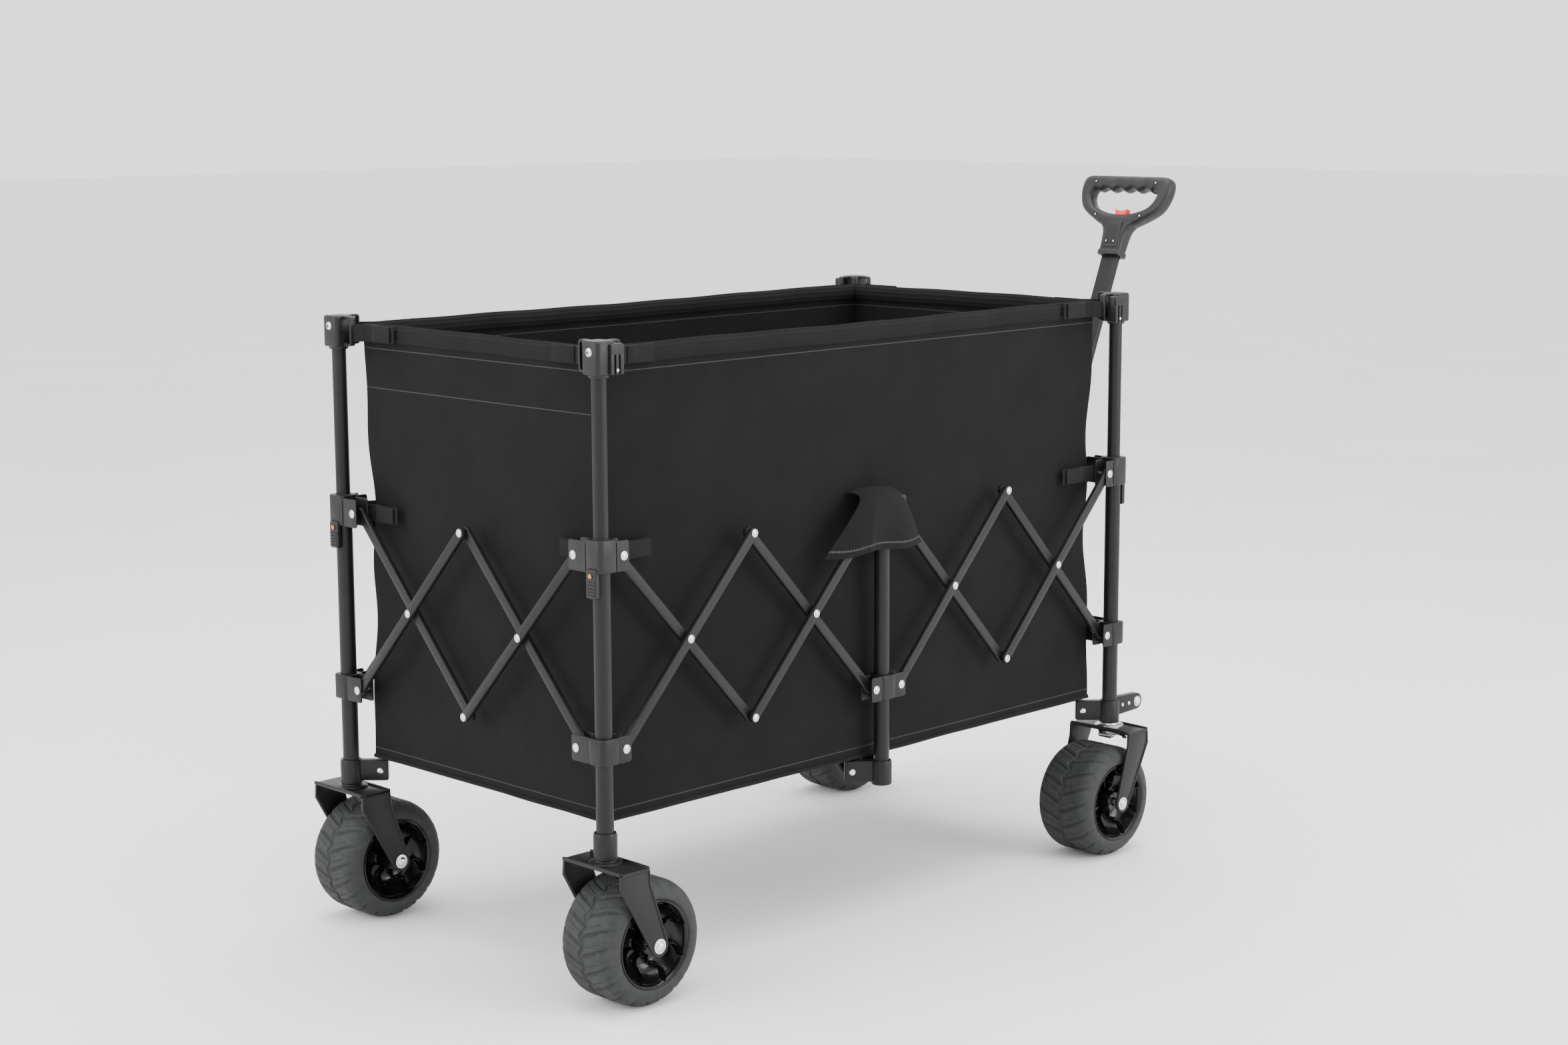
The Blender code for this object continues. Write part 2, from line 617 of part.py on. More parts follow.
def make_handle_tubes():
    lower = bar_box(LOWER_WIDTH, LOWER_DEPTH, -0.0095, LOWER_TOP)
    heel = rod(LOWER_DEPTH / 2, (0, -LOWER_WIDTH / 2, 0), (0, LOWER_WIDTH / 2, 0), 16)
    ring = bar_box(LOWER_WIDTH + 0.006, LOWER_DEPTH + 0.006, LOWER_TOP - 0.035, LOWER_TOP)
    bore = bar_box(UPPER_WIDTH + 2 * GAP, UPPER_DEPTH + 2 * GAP, 0.025, LOWER_TOP + 0.01)
    hinge = rod(AXLE_RADIUS + GAP, (0, -LOWER_WIDTH, 0), (0, LOWER_WIDTH, 0), 12)
    lower = combine(lower, [heel, ring], [bore, hinge])
    part(leaned(lower), "handle_lower_tube", COATED, HANDLE_FOOT)
    upper = bar_box(UPPER_WIDTH, UPPER_DEPTH, UPPER_START, UPPER_TOP)
    hollow = bar_box(UPPER_WIDTH - 2 * TUBE_WALL, UPPER_DEPTH - 2 * TUBE_WALL,
                     UPPER_START - 0.01, UPPER_TOP - TUBE_WALL)
    upper = combine(upper, cuts=[hollow])
    part(leaned(upper), "handle_upper_tube", COATED, HANDLE_FOOT + HANDLE_UP * LOWER_TOP)


def mirrored(half):
    """A closed outline from its right half, listed from top to bottom."""
    return half + [(-x, y) for x, y in reversed(half)]


def make_grip():
    """D-shaped grip with a socket for the tube and a slot for the release button."""
    top = GRIP_TOP
    outline = mirrored([(0.082, top), (0.092, top - 0.004), (0.0975, top - 0.014), (0.0965, top - 0.035),
                        (0.089, top - 0.056), (0.078, top - 0.068), (0.045, top - 0.087),
                        (0.031, top - 0.098), (0.025, top - 0.112), (0.023, SOCKET_START)])
    opening = mirrored([(0.060, top - 0.026), (0.069, top - 0.031), (0.070, top - 0.040),
                        (0.064, top - 0.052), (0.055, top - 0.060), (0.030, top - 0.069)])
    shape = plate([outline, opening], (0, 0, 0), Y, Z, GRIP_THICK)
    socket = bar_box(UPPER_WIDTH + 2 * GAP, UPPER_DEPTH + 2 * GAP, SOCKET_START - 0.01, UPPER_TOP + GAP)
    slot = box((-0.0065 - GAP, -0.011 - GAP, top - 0.080), (0.0065 + GAP, 0.011 + GAP, top - 0.06))
    shape = combine(shape, cuts=[socket, slot])
    part(leaned(shape), "handle_grip", PLASTIC, HANDLE_FOOT + HANDLE_UP * GRIP_NECK)
    button = box((-0.0065, -0.011, top - 0.080 + BUTTON_TRAVEL + GAP), (0.0065, 0.011, top - 0.062))
    part(leaned(button), "release_button", RED, HANDLE_FOOT + HANDLE_UP * (top - 0.07))


# ---- Build --------------------------------------------------------------------------------
for panel_name in PANELS:
    for bar_number in BARS:
        make_bar(panel_name, bar_number)
for corner in CORNERS:
    make_leg(corner)
    make_upper_post(corner)
    make_slider(corner, f"slider_{corner}", LEG_RADIUS)
    make_fork(corner)
    make_wheel(corner)
for corner in ("front_right", "front_left"):
    make_brake(corner)
for side_name in MIDDLES:
    make_mid_post(side_name)
    make_slider(side_name, f"mid_slider_{side_name}", MID_RADIUS)
make_basket()
make_stay()
make_handle_tubes()
make_grip()
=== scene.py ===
# %% [markdown]
# # A folding wagon with a pull handle
# The frame file holds the wagon's working parts at their real size. This script gives them their
# looks: sewn fabric, moulded caps, pressed steel forks, treaded tyres and a two-shell grip. Each
# cell explains one piece or finish, and then makes it.

# %% Load the frame
import json
import math

import bmesh
import bpy
import numpy as np
from mathutils import Matrix, Vector


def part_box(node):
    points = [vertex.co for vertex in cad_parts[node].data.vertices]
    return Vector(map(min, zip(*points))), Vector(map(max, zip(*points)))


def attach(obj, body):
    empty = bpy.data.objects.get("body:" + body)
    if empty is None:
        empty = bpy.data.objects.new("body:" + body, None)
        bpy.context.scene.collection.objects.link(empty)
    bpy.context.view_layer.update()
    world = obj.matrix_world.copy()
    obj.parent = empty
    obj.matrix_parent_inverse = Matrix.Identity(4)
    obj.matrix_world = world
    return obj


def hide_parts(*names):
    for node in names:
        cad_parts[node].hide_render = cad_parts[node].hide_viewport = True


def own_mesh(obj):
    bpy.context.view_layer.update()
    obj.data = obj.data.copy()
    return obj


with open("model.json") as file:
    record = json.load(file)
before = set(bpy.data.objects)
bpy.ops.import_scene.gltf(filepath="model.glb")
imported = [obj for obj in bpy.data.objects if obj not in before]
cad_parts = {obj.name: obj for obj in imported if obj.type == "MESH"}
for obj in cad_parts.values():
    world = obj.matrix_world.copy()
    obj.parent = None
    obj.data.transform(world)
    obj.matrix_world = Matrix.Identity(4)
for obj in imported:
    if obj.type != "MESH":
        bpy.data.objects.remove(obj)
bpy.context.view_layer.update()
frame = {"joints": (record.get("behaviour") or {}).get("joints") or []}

# %% [markdown]
# Everything is placed from the frame's own boxes. A corner post stands behind the outer corner of
# its cap, by half the width of the cap's square collar. The middle posts stand halfway between.

# %% Where the posts stand
COLLAR = 0.0168
CORNERS = {"rear_right": (-1, -1), "rear_left": (-1, 1), "front_right": (1, -1), "front_left": (1, 1)}
MIDDLES = {"right": -1, "left": 1}


def corner_foot(name):
    """Post axis: the cap's outer corner, moved inwards by half a collar on both axes."""
    low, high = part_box(f"upper_post_{name}")
    ends = ((low.x, high.x), (low.y, high.y))
    return np.array([e[int(s > 0)] - s * COLLAR for e, s in zip(ends, CORNERS[name])] + [0.0])


FEET = {name: corner_foot(name) for name in CORNERS}
for side in MIDDLES:
    FEET[side] = (FEET[f"rear_{side}"] + FEET[f"front_{side}"]) / 2
CENTRE = sum(FEET[c] for c in CORNERS) / 4
HALF = FEET["front_left"] - CENTRE
BODY = {**{c: f"corner_{c}" for c in CORNERS}, "right": "middle_right", "left": "middle_left"}
X, Y, Z = np.eye(3)
print("post axes from the centre:", HALF.round(4))

# %% [markdown]
# A scissor panel is named by its outward direction and its two posts, left and right as seen from
# outside. The box of an inner bar tells where the pivots are.

# %% Scissor panels
PANELS = {
    "right_rear": (-Y, "rear_right", "right"), "right_front": (-Y, "right", "front_right"),
    "left_front": (Y, "front_left", "left"), "left_rear": (Y, "left", "rear_left"),
    "rear": (-X, "rear_left", "rear_right"), "front": (X, "front_right", "front_left"),
}
BAR_WIDTH, BAR_THICK, LAYER_GAP = 0.015, 0.0085, 0.001
PLATE, FIT = 0.0025, 0.0003     # bracket plate, and the clearance beside a bar
INNER_LOW, INNER_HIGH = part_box("bar_right_rear_1")
PIVOT_LOW, PIVOT_TOP = INNER_LOW.z + BAR_WIDTH / 2, INNER_HIGH.z - BAR_WIDTH / 2
INNER_FACE = FEET["right"][1] - INNER_HIGH.y
INNER_OUT = FEET["right"][1] - INNER_LOW.y
OUTER_FACE = INNER_OUT + LAYER_GAP + BAR_THICK


def across(normal):
    """Direction to the right on a panel that is seen from outside."""
    return np.cross(Z, normal)


def pivot(panel, column, height):
    """A pivot: column 0, 1 or 2 from the left, at a height, in the plane of the posts."""
    normal, left, _ = PANELS[panel]
    right = across(normal)
    axis = int(abs(right[1]) > 0.5)
    first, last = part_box(f"bar_{panel}_1"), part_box(f"bar_{panel}_3")
    ends = [b[i][axis] for b in (first, last) for i in (0, 1)]
    low, high = min(ends) + BAR_WIDTH / 2, max(ends) - BAR_WIDTH / 2
    along = low + (high - low) * column / 2 if right[axis] > 0 else high - (high - low) * column / 2
    place = FEET[left] + Z * height
    place[axis] = along
    return place


print("pivots at", round(PIVOT_LOW, 4), "and", round(PIVOT_TOP, 4), "outer face", round(OUTER_FACE, 4))

# %% [markdown]
# ## Camera, floor and light
# The camera looks from the rear right, a little above the rim. Large, pale area lamps stand for
# a studio's soft boxes: they leave long, soft highlights on black parts.

# %% Camera and light
SENSOR = 36.0
FOCAL_WIDTHS = 1.7053          # focal length in picture widths
EYE = np.array([-2.8669, -2.9394, 1.2493])
YAW, PITCH, ROLL = 0.7874, -0.1628, -0.0033


def add_camera():
    """Right-handed camera axes from yaw about Z, pitch up and roll about the view."""
    view = np.array([math.sin(YAW) * math.cos(PITCH), math.cos(YAW) * math.cos(PITCH), math.sin(PITCH)])
    right = np.cross(view, Z)
    right /= np.linalg.norm(right)
    up = np.cross(right, view)
    side = math.cos(ROLL) * right + math.sin(ROLL) * up
    top = -math.sin(ROLL) * right + math.cos(ROLL) * up
    data = bpy.data.cameras.new("camera")
    data.sensor_width = SENSOR
    data.lens = SENSOR * FOCAL_WIDTHS
    camera = bpy.data.objects.new("camera", data)
    place = EYE + CENTRE * [1, 1, 0]
    rows = [(side[i], top[i], -view[i], place[i]) for i in range(3)]
    camera.matrix_world = Matrix(rows + [(0, 0, 0, 1)])
    bpy.context.scene.collection.objects.link(camera)
    bpy.context.scene.camera = camera


def add_lamp(name, place, aim, size, power):
    data = bpy.data.lights.new(name, "AREA")
    data.shape = "RECTANGLE"
    data.size, data.size_y = size
    data.energy = power
    lamp = bpy.data.objects.new(name, data)
    lamp.location = place
    lamp.rotation_euler = (Vector(aim) - Vector(place)).to_track_quat("-Z", "Y").to_euler()
    bpy.context.scene.collection.objects.link(lamp)


add_camera()
add_lamp("soft_top", (0, 0, 3.4), (0, 0, 0.4), (3.2, 3.2), 130)
add_lamp("soft_left", (-3.8, 1.0, 1.9), (0, 0, 0.5), (2.4, 2.2), 90)
add_lamp("soft_right", (1.4, -3.9, 1.7), (0, 0, 0.5), (2.0, 2.2), 120)
world = bpy.data.worlds.new("pale_room")
world.use_nodes = True
world.node_tree.nodes["Background"].inputs["Color"].default_value = (1, 1, 1, 1)
world.node_tree.nodes["Background"].inputs["Strength"].default_value = 1.9
bpy.context.scene.world = world

# %% [markdown]
# ## Materials
# Every finish is made of nodes. A helper sets a Principled shader's plain values, and two others
# add fine relief and slight changes of tone, at sizes given in metres.


# %% Material helpers
def finish(name, colour, roughness, metallic=0.0, **extra):
    """A Principled material. Extra values are socket names with underscores for spaces."""
    made = bpy.data.materials.new(name)
    made.use_nodes = True
    shader = made.node_tree.nodes["Principled BSDF"]
    shader.inputs["Base Color"].default_value = (*colour, 1)
    shader.inputs["Roughness"].default_value = roughness
    shader.inputs["Metallic"].default_value = metallic
    for key, value in extra.items():
        shader.inputs[key.replace("_", " ")].default_value = value
    return made


def add_node(made, kind, **inputs):
    node = made.node_tree.nodes.new(kind)
    for key, value in inputs.items():
        node.inputs[key].default_value = value
    return node


def wire(made, source, target):
    made.node_tree.links.new(source, target)


def noise(made, size, detail=3.0):
    """Noise whose lumps are about size metres across."""
    place = add_node(made, "ShaderNodeTexCoord")
    made_noise = add_node(made, "ShaderNodeTexNoise", Scale=1 / size, Detail=detail)
    wire(made, place.outputs["Object"], made_noise.inputs["Vector"])
    return made_noise.outputs["Fac"]


def tones(made, factor, dark, light, socket="Base Color"):
    """Moves a colour, or a grey value for roughness, between two limits as factor goes 0.3 to 0.7."""
    ramp = add_node(made, "ShaderNodeValToRGB")
    ramp.color_ramp.elements[0].position, ramp.color_ramp.elements[1].position = 0.3, 0.7
    ramp.color_ramp.elements[0].color = (*dark, 1)
    ramp.color_ramp.elements[1].color = (*light, 1)
    wire(made, factor, ramp.inputs["Fac"])
    wire(made, ramp.outputs["Color"], made.node_tree.nodes["Principled BSDF"].inputs[socket])
    return ramp


def relief(made, height, depth, strength=1.0):
    bump = add_node(made, "ShaderNodeBump", Strength=strength, Distance=depth)
    wire(made, height, bump.inputs["Height"])
    shader = made.node_tree.nodes["Principled BSDF"]
    last = shader.inputs["Normal"].links
    if last:
        wire(made, last[0].from_socket, bump.inputs["Normal"])
    wire(made, bump.outputs["Normal"], shader.inputs["Normal"])


def grey(level):
    return (level, level, level)


# %% [markdown]
# The tubes and bars are powder coated: satin black with a faint orange peel. The mouldings are a
# fine-grained black plastic, the wheels' centres a glossier one. Rivets and screws are bright
# zinc-plated steel.


# %% Hard finishes
def powder_coat():
    made = finish("powder_coat", (0.009, 0.009, 0.009), 0.40, Specular_IOR_Level=0.22)
    tones(made, noise(made, 0.05), grey(0.34), grey(0.46), "Roughness")
    tones(made, noise(made, 0.12), grey(0.007), grey(0.011))
    relief(made, noise(made, 0.0012), 0.00012, 0.5)
    return made


def moulded(name, level, roughness, grain=0.0007):
    made = finish(name, grey(level), roughness, Specular_IOR_Level=0.28)
    tones(made, noise(made, 0.03), grey(level * 0.85), grey(level * 1.2))
    tones(made, noise(made, 0.008), grey(roughness - 0.06), grey(roughness + 0.06), "Roughness")
    relief(made, noise(made, grain), 0.00012, 0.6)
    return made


def bright_steel():
    made = finish("bright_steel", (0.72, 0.72, 0.71), 0.24, 1.0)
    tones(made, noise(made, 0.004), grey(0.18), grey(0.36), "Roughness")
    relief(made, noise(made, 0.0015), 0.0001, 0.4)
    return made


def tyre_rubber():
    made = finish("tyre_rubber", grey(0.02), 0.72, Specular_IOR_Level=0.35)
    tones(made, noise(made, 0.01), (0.016, 0.017, 0.017), (0.025, 0.026, 0.027))
    tones(made, noise(made, 0.005), grey(0.62), grey(0.82), "Roughness")
    relief(made, noise(made, 0.0009), 0.00025, 0.7)
    return made


COAT = powder_coat()
PLASTIC = moulded("black_moulding", 0.009, 0.42)
GRIP = moulded("grip_moulding", 0.015, 0.44, 0.0005)
GLOSS = moulded("gloss_moulding", 0.004, 0.18, 0.003)
RED = moulded("red_moulding", 0.3, 0.32)
tones(RED, noise(RED, 0.01), (0.72, 0.020, 0.022), (0.84, 0.034, 0.034))
STEEL = bright_steel()
COPPER = finish("copper_pin", (0.62, 0.22, 0.13), 0.3, 1.0)
relief(COPPER, noise(COPPER, 0.001), 0.0001, 0.4)
RUBBER = tyre_rubber()

# %% [markdown]
# The basket is a dense, matte polyester. A cloth's pattern has to follow the cloth, so these materials read a
# UV map that is measured in metres along the piece: two crossed waves make the weave, a noise breaks it up,
# and a row of dashes is a line of stitches.


# %% Cloth finishes
def threads(made, spacing, direction):
    """Fine waves across U or V, one for each thread."""
    place = add_node(made, "ShaderNodeTexCoord")
    wave = add_node(made, "ShaderNodeTexWave", Scale=2 * math.pi / spacing / 20, Distortion=0.0)
    wave.bands_direction = direction
    wire(made, place.outputs["UV"], wave.inputs["Vector"])
    return wave.outputs["Fac"]


def mixed(made, kind, first, second):
    node = add_node(made, "ShaderNodeMath")
    node.operation = kind
    for value, socket in zip((first, second), node.inputs):
        if isinstance(value, (int, float)):
            socket.default_value = value
        else:
            wire(made, value, socket)
    return node.outputs[0]


def stitches(made, height, stitch=0.0045, thread=0.0007):
    """1 on the dashes of a seam that runs at one height, 0 elsewhere."""
    place = add_node(made, "ShaderNodeTexCoord")
    split = add_node(made, "ShaderNodeSeparateXYZ")
    wire(made, place.outputs["UV"], split.inputs[0])
    off = mixed(made, "ABSOLUTE", mixed(made, "SUBTRACT", split.outputs[1], height), 0)
    on_line = mixed(made, "LESS_THAN", off, thread)
    share = mixed(made, "FRACT", mixed(made, "DIVIDE", split.outputs[0], stitch), 0)
    return mixed(made, "MULTIPLY", on_line, mixed(made, "LESS_THAN", share, 0.7))


def cloth(name, dark, light, spacing, seams=(), seam_tone=0.05):
    made = finish(name, grey(light), 0.88, Sheen_Weight=0.02, Sheen_Roughness=0.5, Specular_IOR_Level=0.12)
    weave = mixed(made, "MULTIPLY", threads(made, spacing, "X"), threads(made, spacing, "Y"))
    ramp = tones(made, noise(made, 0.09, 4.0), grey(dark), grey(light))
    relief(made, weave, 0.00025, 0.5)
    relief(made, noise(made, 0.02, 4.0), 0.0012, 0.35)
    colour = ramp.outputs["Color"]
    for height in seams:
        mix = add_node(made, "ShaderNodeMix")
        mix.data_type = "RGBA"
        wire(made, stitches(made, height), mix.inputs["Factor"])
        wire(made, colour, mix.inputs["A"])
        mix.inputs["B"].default_value = (*grey(seam_tone), 1)
        colour = mix.outputs["Result"]
    wire(made, colour, made.node_tree.nodes["Principled BSDF"].inputs["Base Color"])
    return made


RIM_TOP, FLOOR_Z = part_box("basket")[1].z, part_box("basket")[0].z
WALL_HEIGHT = RIM_TOP - FLOOR_Z
FABRIC = cloth("basket_fabric", 0.0048, 0.0068, 0.0008, (WALL_HEIGHT - 0.034, 0.016))
END_FABRIC = cloth("end_fabric", 0.0048, 0.0068, 0.0008, (WALL_HEIGHT - 0.034, WALL_HEIGHT - 0.092, 0.016))
BINDING = cloth("rim_binding_cloth", 0.0065, 0.0090, 0.0016)
WEBBING = cloth("webbing", 0.0085, 0.0125, 0.0013)
print("materials:", len(bpy.data.materials))

# %% [markdown]
# ## Shape helpers
# A shape is a patch: an array of points, its faces and its finish. Most are rings of points,
# joined to the next ring. Patches become one object, which rides on a body of the frame.


# %% Patches and pieces
def joined_rings(rings, made, caps=True, wrap=False):
    """Rings (n, m, 3) joined in order by quads; caps close the ends, wrap joins last to first."""
    n, m = rings.shape[:2]
    i = np.arange(n if wrap else n - 1)[:, None]
    j = np.arange(m)[None, :]
    nxt, up = (j + 1) % m, (i + 1) % n
    quads = np.stack([i * m + j, i * m + nxt, up * m + nxt, up * m + j], -1).reshape(-1, 4)
    faces = quads.tolist()
    if caps and not wrap:
        faces += [list(range(m))[::-1], list(range((n - 1) * m, n * m))]
    return rings.reshape(-1, 3), faces, made


def piece(name, body, patches, replaces=(), smooth=38):
    """One object from several patches, with outward faces, riding on a body."""
    finishes, points, faces, slots, count = [], [], [], [], 0
    for verts, quads, made in patches:
        if made not in finishes:
            finishes.append(made)
        points.append(verts)
        faces += [[v + count for v in f] for f in quads]
        slots += [finishes.index(made)] * len(quads)
        count += len(verts)
    mesh = bpy.data.meshes.new(name)
    mesh.from_pydata(np.concatenate(points).tolist(), [], faces)
    for made in finishes:
        mesh.materials.append(made)
    mesh.polygons.foreach_set("material_index", slots)
    bm = bmesh.new()
    bm.from_mesh(mesh)
    bmesh.ops.recalc_face_normals(bm, faces=bm.faces)
    bm.to_mesh(mesh)
    bm.free()
    mesh.shade_smooth()
    mesh.set_sharp_from_angle(angle=math.radians(smooth))
    made_piece = bpy.data.objects.new(name, mesh)
    bpy.context.scene.collection.objects.link(made_piece)
    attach(made_piece, body)
    if replaces:
        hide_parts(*replaces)
    return made_piece


def full_turn(steps):
    """Angles of a full turn, without the last one, which is the first again."""
    return np.linspace(0, 2 * np.pi, steps, endpoint=False)


def rounding(radius, low, high):
    """Insets and heights of the rings that round a solid's two ends with quarter circles."""
    turn = np.linspace(0, np.pi / 2, 4)
    inset, lift = radius * (1 - np.sin(turn)), radius * (1 - np.cos(turn))
    return zip(np.concatenate([inset, inset[::-1]]), np.concatenate([low + lift, high - lift[::-1]]))


def rounded_rect(width, depth, radius, steps=5):
    """Corner arcs at the four quadrants, each moved out to its corner's centre."""
    radius = min(radius, width / 2 - 1e-5, depth / 2 - 1e-5)
    turn = np.linspace(0, np.pi / 2, steps)
    angle = (turn[None] + np.arange(4)[:, None] * np.pi / 2).ravel()
    sx = np.repeat([1, -1, -1, 1], steps) * (width / 2 - radius)
    sy = np.repeat([1, 1, -1, -1], steps) * (depth / 2 - radius)
    return np.stack([sx + radius * np.cos(angle), sy + radius * np.sin(angle)], 1)


def lying(flat, height, origin, axes):
    """Points of a flat outline at a height along the third axis of a frame."""
    right, up, out = axes
    return origin + flat[:, :1] * right + flat[:, 1:] * up + height * out


def block(low, high, made, radius=0.0015, corner=None, axes=(X, Y, Z), origin=(0, 0, 0)):
    """A box with rounded edges: rounded outlines that shrink along a quarter circle at each end."""
    low, high = np.minimum(low, high), np.maximum(low, high)
    size, middle = high - low, (low + high) / 2
    corner = corner or radius * 1.5
    rings = []
    for inset, height in rounding(radius, low[2], high[2]):
        flat = rounded_rect(size[0] - 2 * inset, size[1] - 2 * inset, corner) + middle[:2]
        rings.append(lying(flat, height, np.array(origin), axes))
    return joined_rings(np.array(rings), made)


def slab(outline, low, high, made, radius, origin, axes):
    """A flat piece with rounded edges: its outline moves in along its own normals at both faces."""
    step = np.roll(outline, -1, 0) - np.roll(outline, 1, 0)
    out = np.stack([step[:, 1], -step[:, 0]], 1)
    out /= np.linalg.norm(out, axis=1, keepdims=True) + 1e-12
    rings = [lying(outline - out * inset, height, np.array(origin), axes)
             for inset, height in rounding(radius, low, high)]
    return joined_rings(np.array(rings), made)


def lathe(profile, foot, axis, made, steps=40, wrap=False):
    """A profile of (radius, height) turned about an axis through foot."""
    axis = np.array(axis, float)
    axis /= np.linalg.norm(axis)
    side = np.cross(axis, [0.31, 0.89, 0.33])
    side /= np.linalg.norm(side)
    turn = full_turn(steps)
    ring = np.cos(turn)[:, None] * side + np.sin(turn)[:, None] * np.cross(axis, side)
    profile = np.array(profile)
    rings = foot + profile[:, 1, None, None] * axis + profile[:, 0, None, None] * ring[None]
    return joined_rings(rings, made, wrap=wrap)


def dome(foot, axis, radius, height, made, steps=20):
    """A shallow domed head: a quarter ellipse turned about its axis."""
    turn = np.linspace(0, np.pi / 2 * 0.97, 6)
    profile = np.stack([radius * np.cos(turn), height * np.sin(turn)], 1)
    return lathe(np.concatenate([[[radius, -0.0006]], profile]), foot, axis, made, steps)


def bolt_head(foot, axis, washer, head, rise, steps=(24, 20)):
    """A washer, given as (radius, thickness, top radius, top height), and a domed head on it."""
    radius, thick, top_radius, top = washer
    ring = lathe([(radius, 0), (radius, thick), (top_radius, top)], foot, axis, STEEL, steps[0])
    return [ring, dome(foot + axis * rise, axis, *head, STEEL, steps[1])]


def tube(radius, foot, low, high, made, edge=0.0006):
    """An upright round bar with a small rounding at both ends."""
    profile = [(radius - edge, low), (radius, low + edge), (radius, high - edge), (radius - edge, high)]
    return lathe(profile, foot, Z, made, 40)


def swept(path, section, made, up, caps=True, wrap=False):
    """A section (m, 2) carried along path points, kept level with an up direction."""
    ahead = np.gradient(path, axis=0)
    if wrap:
        ahead = np.roll(path, -1, 0) - np.roll(path, 1, 0)
    ahead /= np.linalg.norm(ahead, axis=1, keepdims=True)
    side = np.cross(ahead, up)
    side /= np.linalg.norm(side, axis=1, keepdims=True)
    top = np.cross(side, ahead)
    rings = path[:, None] + section[:, :1] * side[:, None] + section[:, 1:] * top[:, None]
    return joined_rings(rings, made, caps, wrap)


def smooth_path(points, count, wrap=False):
    """A rounded line through a few points: cubic blends of neighbouring points (Catmull-Rom)."""
    points = np.array(points, float)
    n = len(points)
    t = np.linspace(0, n if wrap else n - 1, count, endpoint=not wrap)
    i = np.minimum(t.astype(int), n - 1 if wrap else n - 2)
    f = (t - i)[:, None]

    def at(k):
        return points[k % n] if wrap else points[np.clip(k, 0, n - 1)]

    a, b, c, d = at(i - 1), at(i), at(i + 1), at(i + 2)
    return 0.5 * (2 * b + (c - a) * f + (2 * a - 5 * b + 4 * c - d) * f**2 + (3 * b - a - 3 * c + d) * f**3)


def stadium(length, width, steps=12):
    """A bar's outline: two half circles, length between their centres."""
    turn = np.linspace(-np.pi / 2, np.pi / 2, steps)
    half = np.stack([length / 2 + width / 2 * np.cos(turn), width / 2 * np.sin(turn)], 1)
    return np.concatenate([half, -half])


# %% [markdown]
# ## Scissor bars
# Each bar is a flattened steel tube with round ends. The outer bars carry bright domed rivets, at
# both ends and in the middle. A rivet that also holds a bracket stands further out.


# %% Bars and rivets
BARS = {1: (0, False, False), 2: (0, True, True), 3: (1, False, False), 4: (1, True, True)}


def make_bar(panel, number):
    column, rising, outer = BARS[number]
    normal = PANELS[panel][0]
    left_z, right_z = (PIVOT_LOW, PIVOT_TOP) if rising else (PIVOT_TOP, PIVOT_LOW)
    left, right = pivot(panel, column, left_z), pivot(panel, column + 1, right_z)
    along = (right - left) / np.linalg.norm(right - left)
    axes = (along, np.cross(normal, along), normal)
    low, high = (INNER_OUT + LAYER_GAP, OUTER_FACE) if outer else (INNER_FACE, INNER_OUT)
    outline = stadium(np.linalg.norm(right - left), BAR_WIDTH)
    middle = (left + right) / 2
    patches = [slab(outline, low, high, COAT, 0.0022, middle, axes)]
    if outer:
        for place, at in ((left, column), (middle, 1), (right, column + 1)):
            held = at != 1
            depth = OUTER_FACE + (PLATE + 0.0006 if held else 0)
            foot = place + normal * depth
            patches += bolt_head(foot, normal, (0.0058, 0.0006, 0.0046, 0.0009), (0.0047, 0.0018), 0.0006)
            patches.append(lathe([(0.0024, INNER_FACE - 0.002), (0.0024, depth)], place, normal, STEEL, 16))
    name = f"bar_{panel}_{number}"
    return piece(f"{name}_steel", name, patches, (name,))


for panel in PANELS:
    for number in BARS:
        make_bar(panel, number)
print("bars made")


# %% [markdown]
# ## Posts and brackets
# A bracket is a moulded or wrapped block around the post, with two cheeks on each side that has a
# scissor panel. The bar's end lies between the cheeks, on a rivet.


# %% Brackets
def wings(post):
    """For each panel at a post: its name, normal, direction away from the post, and reach."""
    found = []
    for name, (normal, left, right) in PANELS.items():
        if post in (left, right):
            away = across(normal) * (1 if post == left else -1)
            place = pivot(name, 0 if post == left else 2, 0)
            found.append((name, normal, away, abs(np.dot(place - FEET[post], away))))
    return found


def cheeks(post, height, tall, made, raised):
    """Cheek plates with rounded edges, a rivet on the outer one and a moulded rib where raised."""
    patches = []
    for _, normal, away, reach in wings(post):
        foot = FEET[post] + Z * height
        for low, high in ((INNER_FACE - FIT - PLATE, INNER_FACE - FIT),
                          (OUTER_FACE + FIT, OUTER_FACE + FIT + PLATE)):
            patches.append(block((COLLAR - 0.004, -tall / 2, low), (reach + 0.0095, tall / 2, high),
                                 made, 0.0008, 0.004, (away, Z, normal), foot))
        depth = OUTER_FACE + FIT + PLATE
        spot = foot + away * reach + normal * depth
        patches += bolt_head(spot, normal, (0.0062, 0.0007, 0.005, 0.001), (0.0048, 0.0017), 0.0007)
        if raised:
            patches.append(block((COLLAR - 0.003, -tall / 2 + 0.002, depth - 0.001),
                                 (COLLAR + 0.001, tall / 2 - 0.002, depth + 0.0012),
                                 made, 0.0008, 0.001, (away, Z, normal), foot))
    return patches


def collar(post, low, high, made, half=COLLAR, corner=0.008):
    foot = FEET[post]
    return block(foot + [-half, -half, low], foot + [half, half, high], made, 0.0018, corner)


def make_slider(post, node):
    """A wrapped steel bracket that slides on its post."""
    low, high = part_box(node)
    tall = high.z - low.z
    patches = [collar(post, low.z, high.z, COAT)]
    patches += cheeks(post, (low.z + high.z) / 2, tall, COAT, False)
    return piece(f"{node}_steel", node, patches, (node,))


